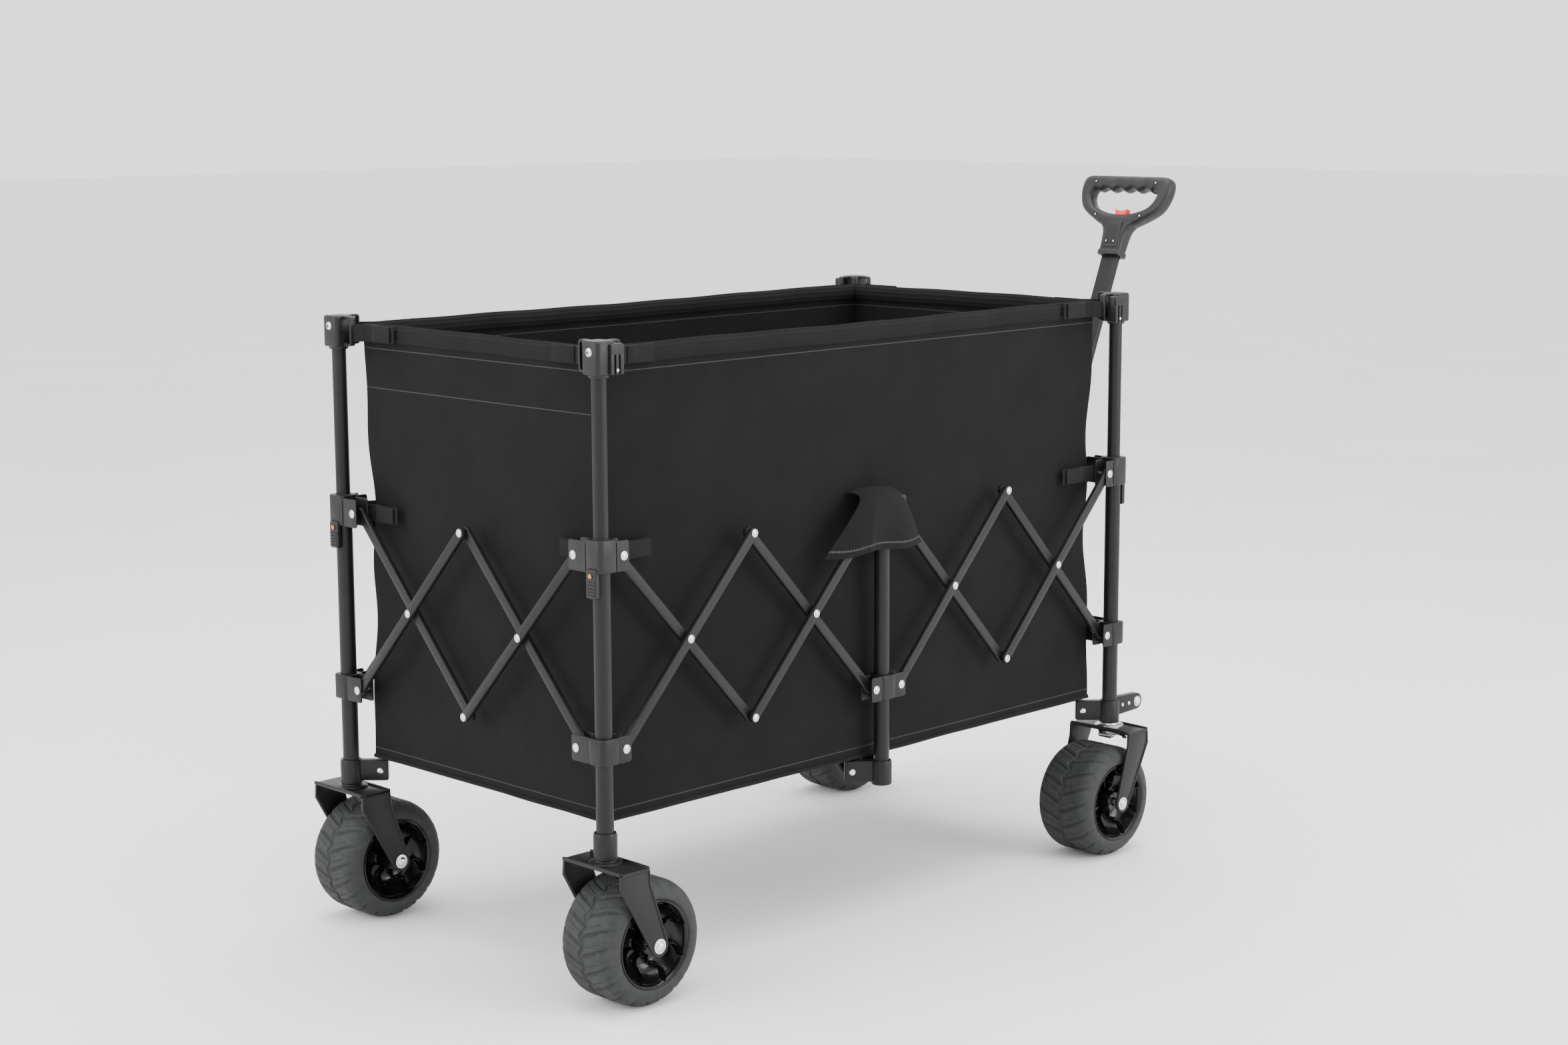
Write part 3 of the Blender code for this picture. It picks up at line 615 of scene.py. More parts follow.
for post in FEET:
    make_slider(post, f"slider_{post}" if post in CORNERS else f"mid_slider_{post}")

# %% [markdown]
# The corner posts are two tubes, the upper one thinner. A moulded bracket grips the joint between them. It
# has a latch tongue with ribs below it.

# %% Corner posts
LEG_RADIUS, UPPER_RADIUS, SLEEVE_RADIUS = 0.01225, 0.0105, 0.0165
BRACKET_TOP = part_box("mid_post_right")[1].z
BRACKET_LOW = BRACKET_TOP - 0.046
LEG_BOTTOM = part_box("leg_rear_right")[0].z
SLEEVE_TOP = LEG_BOTTOM + 0.037
CAP_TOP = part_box("upper_post_rear_right")[1].z
CAP_LOW = CAP_TOP - 0.0445


def clip_plate(post, along, out, low, high):
    """A plate on a block's face, split into three fingers by two slits, with a pin in the middle."""
    axes = (along, Z, out)
    foot = FEET[post] + out * COLLAR
    tall = high - low
    top = high - tall * 0.36
    patches = [block((0.004, top, 0), (0.027, high, 0.0045), PLASTIC, 0.0012, 0.003, axes, foot)]
    for start in (0.004, 0.0128, 0.0208):
        width = 0.0062 if start != 0.0128 else 0.0054
        patches.append(block((start, low, 0), (start + width, top + 0.002, 0.0042),
                             PLASTIC, 0.0009, 0.0012, axes, foot))
    pin = foot + along * 0.0155 + Z * (low + 0.006) + out * 0.0044
    patches.append(dome(pin, out, 0.0024, 0.0012, STEEL, 14))
    patches.append(block((0.004, low, -0.012), (0.027, high, 0.0005), PLASTIC, 0.001, 0.003, axes, foot))
    return patches


def screw(foot, axis, radius):
    """A domed screw head with a cross recess: two dark bars sunk in its top, painted shade for the recess."""
    cross_side = np.cross(axis, [0.2, 0.5, 0.84])
    cross_side /= np.linalg.norm(cross_side)
    other = np.cross(axis, cross_side)
    patches = [dome(foot, axis, radius, radius * 0.45, STEEL, 24)]
    # Painted shade: the cross recess is two gloss-black bars, dark because shade falls into the recess of the
    # steel head.
    for long, short in ((cross_side, other), (other, cross_side)):
        patches.append(block((-radius * 0.55, -radius * 0.12, radius * 0.30),
                             (radius * 0.55, radius * 0.12, radius * 0.47),
                             GLOSS, radius * 0.05, radius * 0.06, (long, short, axis), foot))
    return patches


def strap_loop(post, along, out, low, high):
    """The open frame that a strap goes through: a rounded ring swept round a rectangle."""
    foot = FEET[post] + along * 0.0245 + Z * (low + high) / 2
    tall = high - low
    ring = rounded_rect(0.019, tall, 0.003, 6)
    path = foot + ring[:, :1] * along + ring[:, 1:] * Z
    section = rounded_rect(0.0034, 0.009, 0.001, 4)
    return [swept(path, section, PLASTIC, out, wrap=True)]


def corner_sides(post):
    """The two outside faces of a corner: direction away along the wall, and outward normal."""
    return [(away, normal) for _, normal, away, _ in wings(post)]


def sleeve(foot, radius, lip, inner):
    """The short outer tube at the foot of a post."""
    profile = [(radius - 0.001, LEG_BOTTOM), (radius, LEG_BOTTOM + 0.001), (radius, SLEEVE_TOP - 0.003),
               (radius - lip, SLEEVE_TOP), (inner, SLEEVE_TOP)]
    return lathe(profile, foot, Z, COAT, 40)


def foot_lug(foot, inward):
    """A lug on the sleeve, where a floor bar would be bolted, with its two bolt heads."""
    beside = np.cross(Z, inward)
    patches = [block((0, -0.007, LEG_BOTTOM + 0.004), (0.056, 0.007, SLEEVE_TOP - 0.001), COAT,
                     0.0016, 0.003, (inward, beside, Z), foot)]
    bolt = foot + inward * 0.044 + Z * (LEG_BOTTOM + 0.019)
    for way in (-1, 1):
        patches.append(dome(bolt + beside * way * 0.007, beside * way, 0.005, 0.002, STEEL))
    return patches


def make_corner(post):
    foot = FEET[post]
    patches = [tube(LEG_RADIUS, foot, LEG_BOTTOM, BRACKET_TOP, COAT)]
    patches.append(sleeve(foot, SLEEVE_RADIUS, 0.0012, LEG_RADIUS - 0.0005))
    patches.append(collar(post, BRACKET_LOW, BRACKET_TOP - 0.001, PLASTIC))
    patches += cheeks(post, PIVOT_TOP, 0.042, PLASTIC, True)
    sx, sy = CORNERS[post]
    patches += foot_lug(foot, np.array([-sx, -sy, 0]) / math.sqrt(2))
    end_normal = np.array([sx, 0.0, 0.0])
    tongue = foot + end_normal * (COLLAR - 0.004) + Z * (BRACKET_LOW - 0.034)
    axes = (np.cross(Z, end_normal), Z, end_normal)
    patches.append(block((-0.010, 0, -0.001), (0.010, 0.040, 0.0065), PLASTIC, 0.0014, 0.003, axes, tongue))
    for rung in range(5):
        patches.append(block((-0.0085, 0.003 + 0.0045 * rung, 0.006),
                             (0.0085, 0.0048 + 0.0045 * rung, 0.0078),
                             PLASTIC, 0.0005, 0.0007, axes, tongue))
    patches.append(lathe([(0.0028, 0), (0.0034, 0.0006), (0.0034, 0.0022), (0.0026, 0.003)],
                         tongue + Z * 0.031 + end_normal * 0.006, end_normal, COPPER, 20))
    if sx > 0:
        bolt_x = frame_joint("handle_swing")[0]
        reach = bolt_x - foot[0]
        turn = np.linspace(-np.pi / 2, np.pi / 2, 14)
        tip = np.stack([reach + 0.0135 * np.cos(turn), 0.0135 * np.sin(turn)], 1)
        arm = np.concatenate([[[0, -0.016]], tip, [[0, 0.016]]])
        arm_z = frame_joint("handle_swing")[2]
        patches.append(slab(arm, -0.006, 0.006, COAT, 0.001, foot + Z * arm_z, (X, Z, -Y)))
        for way in (-1, 1):
            spot = foot + X * reach + Z * arm_z + Y * way * 0.006
            washer = (0.0085, 0.001, 0.0075, 0.0014)
            patches += bolt_head(spot, Y * way, washer, (0.007, 0.0035), 0.0012, (30, 20))
            for at in (0.028, 0.045):
                patches.append(dome(foot + X * at + Z * arm_z + Y * way * 0.006, Y * way, 0.0032, 0.0014,
                                    STEEL))
    return piece(f"leg_{post}_tube", BODY[post], patches, (f"leg_{post}",))


def frame_joint(name):
    return next(j for j in frame["joints"] if j["name"] == name)["pos_m"]


def make_cap(post):
    foot = FEET[post]
    patches = [tube(UPPER_RADIUS, foot, BRACKET_TOP - 0.002, CAP_LOW + 0.01, COAT)]
    patches.append(collar(post, CAP_LOW, CAP_TOP, PLASTIC, COLLAR, 0.007))
    (away_a, out_a), (away_b, out_b) = corner_sides(post)
    patches.append(lathe([(0.0135, CAP_LOW - 0.004), (0.0145, CAP_LOW - 0.002), (0.0145, CAP_LOW + 0.002)],
                         foot, Z, PLASTIC, 40))
    patches.append(block(foot + [-COLLAR + 0.001, -COLLAR + 0.001, CAP_TOP - 0.0012],
                         foot + [COLLAR - 0.001, COLLAR - 0.001, CAP_TOP + 0.0008], PLASTIC, 0.0008, 0.007))
    for away, out in ((away_a, out_a), (away_b, out_b)):
        patches += strap_loop(post, away, out, CAP_LOW + 0.003, CAP_TOP - 0.001)
    patches += clip_plate(post, away_b if abs(away_b[0]) > 0.5 else away_a,
                          out_b if abs(away_b[0]) > 0.5 else out_a, CAP_LOW, CAP_TOP - 0.003)
    end_out = out_a if abs(out_a[0]) > 0.5 else out_b
    patches += screw(foot + end_out * COLLAR + Z * (CAP_TOP - 0.014), end_out, 0.0062)
    return piece(f"cap_{post}", BODY[post], patches, (f"upper_post_{post}",))


def make_middle(side):
    foot = FEET[side]
    patches = [tube(0.0115, foot, LEG_BOTTOM, BRACKET_TOP, COAT)]
    patches.append(sleeve(foot, 0.0155, 0.001, 0.0110))
    patches.append(collar(side, BRACKET_LOW, BRACKET_TOP, PLASTIC))
    patches += cheeks(side, PIVOT_TOP, 0.042, PLASTIC, True)
    for way in (-1, 1):
        patches += foot_lug(foot, np.array([way, -MIDDLES[side], 0]) / math.sqrt(2))
    return piece(f"mid_post_{side}_tube", BODY[side], patches, (f"mid_post_{side}",))


for post in CORNERS:
    make_corner(post)
    make_cap(post)
for side in MIDDLES:
    make_middle(side)
print("posts made")

# %% [markdown]
# ## Wheels
# A tyre is a closed ring whose radius depends on the angle and on the place across the tread.
# Two rows of slanted, curved blocks stand either side of a wavy groove. The rim is a deep dish
# with thin S-shaped ribs.

# %% Tyres and rims
TYRE_LOW, TYRE_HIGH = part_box("tyre_rear_right")
WHEEL_RADIUS = (TYRE_HIGH.z - TYRE_LOW.z) / 2
WHEEL_HALF = (TYRE_HIGH.y - TYRE_LOW.y) / 2
BLOCKS = 20


def step_up(value, edge, soft):
    """0 below an edge, 1 above it, with a smooth rise of a given width."""
    t = np.clip((value - edge) / soft + 0.5, 0, 1)
    return t * t * (3 - 2 * t)


def tread(turn, across_tread):
    """Share of full height: 0 in the middle groove and in the slanted side grooves."""
    side = np.where(across_tread > 0, 1.0, -1.0)
    wave = 0.0035 * np.sin(turn * BLOCKS)
    centre = step_up(np.abs(across_tread - wave), 0.0032, 0.002)
    bend = 2.2 * np.abs(across_tread) / WHEEL_HALF + 0.8 * (np.abs(across_tread) / WHEEL_HALF) ** 2
    share = (turn * BLOCKS / (2 * np.pi) + 0.25 * side + 0.28 * bend) % 1.0
    near = np.abs(share - 0.5) * 2
    blocks = 1 - step_up(near, 0.88, 0.09)
    second = (turn * BLOCKS / (2 * np.pi) * 2 + 0.25 * side + 0.56 * bend) % 1.0
    sipe = 1 - 0.5 * (1 - step_up(np.abs(second - 0.5) * 2, 0.08, 0.09))
    return centre * blocks * sipe


def make_tyre(post):
    low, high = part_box(f"tyre_{post}")
    centre = (np.array(low) + np.array(high)) / 2
    shoulder = np.linspace(0, np.pi / 2, 12)
    flat = WHEEL_HALF - 0.024
    inner = 0.0625
    right = np.concatenate([
        np.stack([np.full(34, WHEEL_RADIUS), np.linspace(0.0, flat, 34)], 1),
        np.stack([WHEEL_RADIUS - 0.023 * (1 - np.cos(shoulder[1:])), flat + 0.0237 * np.sin(shoulder[1:])],
                 1),
        [[0.0665, WHEEL_HALF - 0.0003], [0.0640, WHEEL_HALF - 0.0012], [inner, WHEEL_HALF - 0.003]],
    ])
    profile = np.concatenate([right[::-1][:-1] * [1, -1], right])
    turn = full_turn(420)
    t, y = np.meshgrid(turn, profile[:, 1], indexing="ij")
    on_tread = 1 - step_up(np.abs(y), WHEEL_HALF - 0.006, 0.006)
    radius = profile[None, :, 0] - 0.0024 * on_tread * (1 - tread(t, y))
    rib = 0.0004 * np.exp(-(((profile[None, :, 0] - 0.074) / 0.0012) ** 2))
    y = y + np.sign(y) * rib
    rings = centre + np.stack([radius * np.cos(t), y, radius * np.sin(t)], -1)
    patch = joined_rings(rings, RUBBER, wrap=True)
    return piece(f"tyre_{post}_rubber", f"wheel_{post}", [patch], (f"tyre_{post}",), 50)


def make_rim(post):
    low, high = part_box(f"rim_{post}")
    centre = (np.array(low) + np.array(high)) / 2
    radius = np.concatenate([[0.0620, 0.0620, 0.0600, 0.0580, 0.0568], np.linspace(0.0560, 0.0200, 26),
                             [0.0175, 0.0165, 0.0165, 0.0150, 0.0075, 0.0065, 0.0060]])
    lip = WHEEL_HALF - 0.002
    depth = np.concatenate([[0.0, lip, lip + 0.0006, lip - 0.001, lip - 0.006],
                            0.020 + (lip - 0.026) * ((np.linspace(0.0560, 0.0200,
                                                                  26) - 0.0200) / 0.036) ** 3.2,
                            [0.021, 0.024, lip - 0.012, lip - 0.009, lip - 0.009, lip - 0.010, 0.0]])
    turn = full_turn(240)
    t, r = np.meshgrid(turn, radius, indexing="ij")
    swirl = 0.55 * np.sin((r - 0.016) / 0.042 * 2 * np.pi) * 0.5 + 9.0 * (r - 0.038)
    share = (t * 8 / (2 * np.pi) + swirl) % 1.0
    rib = 1 - step_up(np.abs(share - 0.5), 0.055, 0.05)
    inside = step_up(r, 0.0185, 0.003) * (1 - step_up(r, 0.0565, 0.002))
    patches = []
    for way in (-1, 1):
        y = depth[None] + 0.0085 * rib * inside
        rings = centre + np.stack([r * np.cos(t), way * y, r * np.sin(t)], -1)
        verts, faces, made = joined_rings(rings.transpose(1, 0, 2), GLOSS, caps=False)
        patches.append((verts, faces, made))
    return piece(f"rim_{post}_dish", f"wheel_{post}", patches, (f"rim_{post}",), 45)


for post in CORNERS:
    make_tyre(post)
    make_rim(post)
print("wheels made")

# %% [markdown]
# ## Forks
# The forks are pressed from steel plate. Pressing gives them rolled, raised edges, which catch the
# light: a round bead runs along each edge of the crown and of the arms.

# %% Forks
CROWN_TOP, CROWN_THICK, CROWN_HALF = 0.2055, 0.007, 0.026


def beads(points, out, radius=0.0021):
    """A round bead along an edge."""
    turn = full_turn(12)
    section = radius * np.stack([np.cos(turn), np.sin(turn)], 1)
    return swept(smooth_path(points, 40), section, COAT, out)


def make_fork(post):
    foot, (low, high) = FEET[post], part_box(f"fork_{post}")
    tyre_low, tyre_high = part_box(f"tyre_{post}")
    axle = (np.array(tyre_low) + np.array(tyre_high)) / 2
    half = (high.y - low.y) / 2 - 0.004
    body = BODY[post] if CORNERS[post][0] < 0 else f"fork_{post}"
    front = CORNERS[post][0] > 0
    under = CROWN_TOP - CROWN_THICK
    patches = [block(foot + [-CROWN_HALF, -half, under + 0.002], foot + [CROWN_HALF, half, CROWN_TOP - 0.001],
                     COAT, 0.0015, 0.007)]
    for way in (-1, 1):
        edge = foot + X * way * (CROWN_HALF - 0.001)
        ys = np.array([-half + 0.002, -half * 0.5, 0, half * 0.5, half - 0.002])
        patches.append(beads([edge + Y * y + Z * (CROWN_TOP - 0.002 + 0.001 * math.cos(y * 20)) for y in ys],
                             Z, 0.0028))
        side_y = foot[1] + way * (half - 0.002)
        turn = np.linspace(np.pi, 2 * np.pi, 18)
        lean = math.atan2(axle[0] - foot[0], CROWN_TOP - 0.02 - axle[2])
        tip = np.stack([axle[0] + 0.0145 * np.cos(turn + lean), axle[2] + 0.0145 * np.sin(turn + lean)], 1)
        head = np.array([[foot[0] + CROWN_HALF, under - 0.016],
                         [foot[0] + CROWN_HALF - 0.001, CROWN_TOP - 0.003],
                         [foot[0] - CROWN_HALF + 0.001, CROWN_TOP - 0.003],
                         [foot[0] - CROWN_HALF, under - 0.016]])
        outline = np.concatenate([tip, head])
        origin = np.array([0.0, side_y, 0.0])
        patches.append(slab(outline, -0.002, 0.002, COAT, 0.0009, origin, (X, Z, -Y)))
        outer = side_y + way * 0.0012
        loop = np.concatenate([outline, outline[:1]])
        line = np.stack([loop[:, 0], np.full(len(loop), outer), loop[:, 1]], 1)
        turn = full_turn(10)
        section = 0.0022 * np.stack([np.cos(turn), np.sin(turn)], 1)
        inner_line = line + ([axle[0] * 0.5 + foot[0] * 0.5, outer, 0.15] - line) * [0.035, 0, 0.02]
        patches.append(swept(inner_line[:-1], section, COAT, Y, wrap=True))
        bolt = axle + Y * way * (half - 0.0005)
        washer = (0.0105, 0.0012, 0.009, 0.0016)
        patches += bolt_head(bolt, Y * way, washer, (0.0072, 0.0042), 0.0014, (30, 28))
    patches.append(lathe([(0.005, -half), (0.005, half)], axle, Y, STEEL, 24))
    ring = STEEL if front else COAT
    patches.append(lathe([(0.0235, CROWN_TOP - 0.002), (0.0235, CROWN_TOP + 0.0008),
                          (0.0215, CROWN_TOP + 0.0022),
                          (0.0155, CROWN_TOP + 0.0026), (0.0150, CROWN_TOP + 0.0045)], foot, Z, ring, 48))
    patches.append(tube(0.008, foot, under, LEG_BOTTOM + 0.03, STEEL))
    if front:
        hinge = np.array(frame_joint(f"brake_{post}"))
        for way in (-1, 1):
            turn = np.linspace(np.pi, 2 * np.pi, 12)
            ear = np.concatenate([np.stack([0.0065 * np.cos(turn), 0.0065 * np.sin(turn)], 1),
                                  [[0.009, 0.0085], [-0.009, 0.0085]]])
            patches.append(slab(ear, -0.002, 0.002, COAT, 0.0005, hinge + Y * way * 0.024, (X, Z, -Y)))
    return piece(f"fork_{post}_steel", body, patches, (f"fork_{post}",))


def make_brake(post):
    low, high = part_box(f"brake_{post}")
    hinge = np.array(frame_joint(f"brake_{post}"))
    patches = [block((low.x, hinge[1] - 0.014, hinge[2] - 0.0012),
                     (low.x + 0.056, hinge[1] + 0.014, hinge[2] + 0.0012),
                     STEEL, 0.0006, 0.003)]
    patches.append(lathe([(0.0033, -0.029), (0.0035, -0.0285), (0.0035, 0.0285), (0.0033, 0.029)], hinge, Y,
                         STEEL, 24))
    patches.append(block((low.x + 0.050, hinge[1] - 0.008, hinge[2] - 0.0015),
                         (high.x, hinge[1] + 0.008, hinge[2] + 0.0042),
                         PLASTIC, 0.0012, 0.003))
    for rung in range(3):
        at = high.x - 0.004 - 0.003 * rung
        patches.append(block((at, hinge[1] - 0.0065, hinge[2] + 0.0035),
                             (at + 0.0014, hinge[1] + 0.0065, hinge[2] + 0.0050),
                             PLASTIC, 0.0004, 0.0005))
    patches.append(block((low.x + 0.001, hinge[1] - 0.012, hinge[2] - 0.004),
                         (low.x + 0.014, hinge[1] + 0.012, hinge[2] - 0.001),
                         RUBBER, 0.0008, 0.002))
    return piece(f"brake_{post}_lever", f"brake_{post}", patches, (f"brake_{post}",))


for post in CORNERS:
    make_fork(post)
    if CORNERS[post][0] > 0:
        make_brake(post)
print("forks made")

# %% [markdown]
# ## Pull handle
# The handle is drawn upright, along its own axis, and then leaned about its hinge. The grip is two
# shells: a loop with a row of finger hollows under its top bar, and a neck with a sunk panel.

# %% Handle
HINGE = np.array(frame_joint("handle_swing"))
SLIDE = next(j for j in frame["joints"] if j["name"] == "handle_slide")["axis"]
UP = np.array(SLIDE) / np.linalg.norm(SLIDE)
FORWARD = np.cross(Y, UP)
LEANED = (FORWARD, Y, UP)
GRIP_TOP = 0.9155


def handle_block(width, depth, low, high, made, radius=0.002, corner=0.0035):
    return block((-depth / 2, -width / 2, low), (depth / 2, width / 2, high), made, radius, corner,
                 LEANED, HINGE)


def grip_point(s, y, out=0.0):
    return HINGE + UP * s + Y * y + FORWARD * out


def make_tubes():
    lower = [handle_block(0.040, 0.019, 0.012, 0.50, COAT, 0.001, 0.0042),
             handle_block(0.046, 0.025, 0.465, 0.50, PLASTIC, 0.0015, 0.005),
             lathe([(0.0125, -0.0198), (0.0132, -0.019), (0.0132, 0.019), (0.0125, 0.0198)], HINGE, Y, COAT,
                   36)]
    lower += screw(grip_point(0.483, 0.0, -0.0125), -FORWARD, 0.004)
    piece("handle_lower_tube_steel", "handle_lower", lower, ("handle_lower_tube",))
    upper = [handle_block(0.034, 0.013, 0.32, 0.80, COAT, 0.0008, 0.0032)]
    piece("handle_upper_tube_steel", "handle_upper", upper, ("handle_upper_tube",))


def make_grip():
    outer = [(0.0, 0.0), (0.030, 0.0), (0.060, 0.0), (0.082, 0.0006), (0.093, 0.0052), (0.0972, 0.016),
             (0.0965, 0.035), (0.0890, 0.056), (0.0770, 0.0690), (0.0520, 0.084), (0.030, 0.094)]
    inner = [(0.0, 0.0265), (0.030, 0.0265), (0.052, 0.0265), (0.0625, 0.0265), (0.0680, 0.0290),
             (0.0702, 0.034),
             (0.0700, 0.041), (0.0650, 0.0505), (0.0560, 0.0595), (0.040, 0.0660), (0.022, 0.0700)]
    edges = []
    for half, foot in ((outer, (0.0, 0.098)), (inner, (0.0, 0.0720))):
        edges.append(smooth_path(half + [foot] + [(-y, s) for y, s in half[:0:-1]], 320, wrap=True))
    rim, hole = edges
    on_bar = (hole[:, 1] < 0.030) * (np.abs(hole[:, 0]) < 0.058)
    hole[:, 1] += 0.0026 * np.cos(hole[:, 0] / 0.029 * 2 * np.pi) * on_bar
    turn = full_turn(32)
    around = np.sign(np.cos(turn)) * np.abs(np.cos(turn)) ** 0.72
    through = 0.0140 * np.sign(np.sin(turn)) * np.abs(np.sin(turn)) ** 0.72
    flat = (rim + hole)[:, None] / 2 + around[None, :, None] * (rim - hole)[:, None] / 2
    rings = HINGE + flat[..., :1] * Y + (GRIP_TOP - flat[..., 1:]) * UP + through[None, :, None] * FORWARD
    patches = [joined_rings(rings, GRIP, wrap=True)]
    levels = smooth_path([(0.767, 0.044, 0.0275), (0.790, 0.046, 0.028), (0.808, 0.050, 0.028),
                          (0.819, 0.059, 0.0275), (0.828, 0.078, 0.0265), (0.836, 0.094, 0.022)], 30)
    neck = np.array([lying(rounded_rect(d, w, 0.0075, 6), s, HINGE, LEANED) for s, w, d in levels])
    patches.append(joined_rings(neck, GRIP))
    patches.append(handle_block(0.0465, 0.0305, 0.767, 0.776, GRIP, 0.0012, 0.006))
    for way in (-1, 1):
        face = 0.0142 * way
        panel_axes = (Y, UP, FORWARD * way)
        spot = HINGE + FORWARD * face
        patches.append(block((-0.0165, 0.780, -0.001), (0.0165, 0.828, 0.0014), GRIP, 0.0008, 0.003,
                             panel_axes, spot))
        patches.append(block((-0.0125, 0.786, 0.0004), (0.0125, 0.823, 0.0017), PLASTIC, 0.0004, 0.002,
                             panel_axes, spot))
        for y in (-0.008, 0.008):
            patches += recessed_screw(grip_point(0.791, y, face + 0.0012 * way), FORWARD * way, 0.0038)
        for y, s in ((-0.066, 0.902), (0.066, 0.902), (-0.049, 0.8405), (0.049, 0.8405)):
            patches += recessed_screw(grip_point(s, y, 0.0134 * way), FORWARD * way, 0.0042)
    return piece("grip_shells", "handle_upper", patches, ("handle_grip",), 50)


def recessed_screw(foot, axis, radius):
    """A dark ring, painted shade for the screw's recess in the shell, with a small bright screw head inside
    it.
    """
    # Painted shade: the ring is a darker gloss black than the grip and stands for the shade inside the screw
    # recess.
    ring = lathe([(radius * 0.62, 0.0), (radius, 0.0), (radius, 0.0009), (radius * 0.85, 0.0012),
                  (radius * 0.62, 0.0010)],
                 foot, axis, GLOSS, 24, wrap=True)
    return [ring, dome(foot + axis * 0.0001, axis, radius * 0.6, 0.0006, STEEL, 16)]


def make_button():
    """A rocker with a hollow top: the top face sinks in the middle along its width."""
    y = np.linspace(-0.0130, 0.0130, 14)
    crest = GRIP_TOP - 0.0615 - 0.0030 * (1 - (y / 0.0130) ** 2)
    flat = np.concatenate([np.stack([y, crest], 1), [[0.0110, 0.8365], [-0.0110, 0.8365]]])
    patch = slab(flat[::-1], -0.0062, 0.0062, RED, 0.0010, HINGE, (Y, UP, FORWARD))
    return piece("red_button", "release_button", [patch], ("release_button",), 50)


def make_stay():
    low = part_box("handle_stay")[0]
    top = np.array(pivot("front", 1, PIVOT_TOP))
    face = OUTER_FACE + FIT
    turn = np.linspace(0, np.pi, 16)
    head = np.stack([0.016 * np.cos(turn), 0.002 + 0.016 * np.sin(turn)], 1)
    bottom = low.z - PIVOT_TOP
    outline = np.concatenate([head, [[-0.016, bottom + 0.06], [-0.024, bottom + 0.002],
                                     [0.024, bottom + 0.002],
                                     [0.016, bottom + 0.06]]])
    origin = top + X * face
    patches = [slab(outline, 0, 0.0025, COAT, 0.0006, origin, (Y, Z, X))]
    for way in (-1, 1):
        start = top[0] + face + 0.001
        tip_turn = np.linspace(-np.pi / 2, np.pi / 2, 14)
        tip = np.stack([HINGE[0] + 0.014 * np.cos(tip_turn), HINGE[2] + 0.014 * np.sin(tip_turn)], 1)
        lug = np.concatenate([[[start, low.z]], tip, [[start, low.z + 0.05]]])
        patches.append(slab(lug, -0.002, 0.002, COAT, 0.0007, (0, way * 0.0223, 0), (X, Z, -Y)))
        patches.append(dome(HINGE + Y * way * 0.0243, Y * way, 0.0085, 0.0032, STEEL, 28))
        line = ((0.0145, PIVOT_TOP - 0.005), (0.0145, PIVOT_LOW + 0.1), (0.0145, low.z + 0.065),
                (0.0215, low.z + 0.01))
        edge = [origin + Y * way * w + Z * (z - PIVOT_TOP) + X * 0.0025 for w, z in line]
        patches.append(beads(edge, X, 0.0014))
    patches.append(lathe([(0.005, -0.026), (0.005, 0.026)], HINGE, Y, STEEL, 24))
    patches.append(lathe([(0.0062, 0), (0.0062, 0.0007), (0.005, 0.001)], top + X * (face + 0.0025), X,
                         STEEL, 24))
    return piece("handle_stay_plate", "handle_stay", patches, ("handle_stay",))


make_tubes()
make_grip()
make_button()
make_stay()
print("handle made")

# %% [markdown]
# ## Fabric basket
# The basket hangs from the posts by straps, so its corners are pulled in from them and its upright
# edges are a little wavy. Each wall is one sheet, a grid between two shared corner lines, pushed
# in and out by soft folds. One wall follows each side of the folding frame.

# %% Walls
BASKET_LOW, BASKET_HIGH = (np.array(p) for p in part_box("basket"))
BASKET_HALF = (BASKET_HIGH - BASKET_LOW) / 2
RNG = np.random.default_rng(7)
WAVES = RNG.uniform(-1, 1, (14, 4))


def folds(u, v, seed):
    """Soft creases: the sum of slanted sine waves between 9 and 45 cm long, ends held flat."""
    total = np.zeros_like(u)
    for a, b, c, d in np.roll(WAVES, seed * 3, 0):
        length = 0.09 + 0.36 * abs(d)
        total += length * np.sin(2 * np.pi * (a * u + b * v) / length + 9 * c)
    return total * 0.0021


def corner_line(sx, sy, v):
    """An upright edge of the basket, pulled in a little between the straps."""
    share = v / WALL_HEIGHT
    arch = np.sin(np.pi * share)
    pull = 0.006 * arch**2 + 0.0022 * np.sin(7 * np.pi * share + sx + 2 * sy) * arch
    x = CENTRE[0] + sx * (BASKET_HALF[0] - pull)
    y = CENTRE[1] + sy * (BASKET_HALF[1] - pull)
    return np.stack([x, y, BASKET_LOW[2] + v], -1)


WALLS = {  # wall: start corner, end corner, outward normal, squash axis, fabric, seed
    "right": ((-1, -1), (1, -1), -Y, X, FABRIC, 1), "front": ((1, -1), (1, 1), X, Y, END_FABRIC, 2),
    "left": ((1, 1), (-1, 1), Y, X, FABRIC, 3), "rear": ((-1, 1), (-1, -1), -X, Y, END_FABRIC, 4),
}
RIDES = {"right": "rear_right", "rear": "rear_right", "left": "rear_left", "front": "front_right"}


def wall_points(name, u, v):
    """Between the two corner lines, moved outwards by the folds, and flat at corners and hems."""
    start, end, normal, _, _, seed = WALLS[name]
    a, b = corner_line(*start, v), corner_line(*end, v)
    length = np.linalg.norm(corner_line(*start, v[:, :1]) - corner_line(*end, v[:, :1]), axis=-1).max()
    share = (u / length)[..., None]
    held = np.sin(np.pi * np.clip(share[..., 0], 0, 1)) ** 0.45
    hem = np.clip(np.sin(np.pi * np.clip(v / WALL_HEIGHT, 0, 1)), 0, 1) ** 0.8
    near_strap = np.exp(-np.minimum(u, length - u) / 0.07) * np.exp(-np.abs(v - (PIVOT_TOP - FLOOR_Z)) / 0.06)
    pucker = 0.004 * near_strap * np.cos((v - PIVOT_TOP + FLOOR_Z) / 0.030 * np.pi)
    out = folds(u, v, seed) * hem + 0.004 * np.sin(np.pi * v / WALL_HEIGHT) + pucker
    return a + (b - a) * share + normal * (out * held)[..., None]


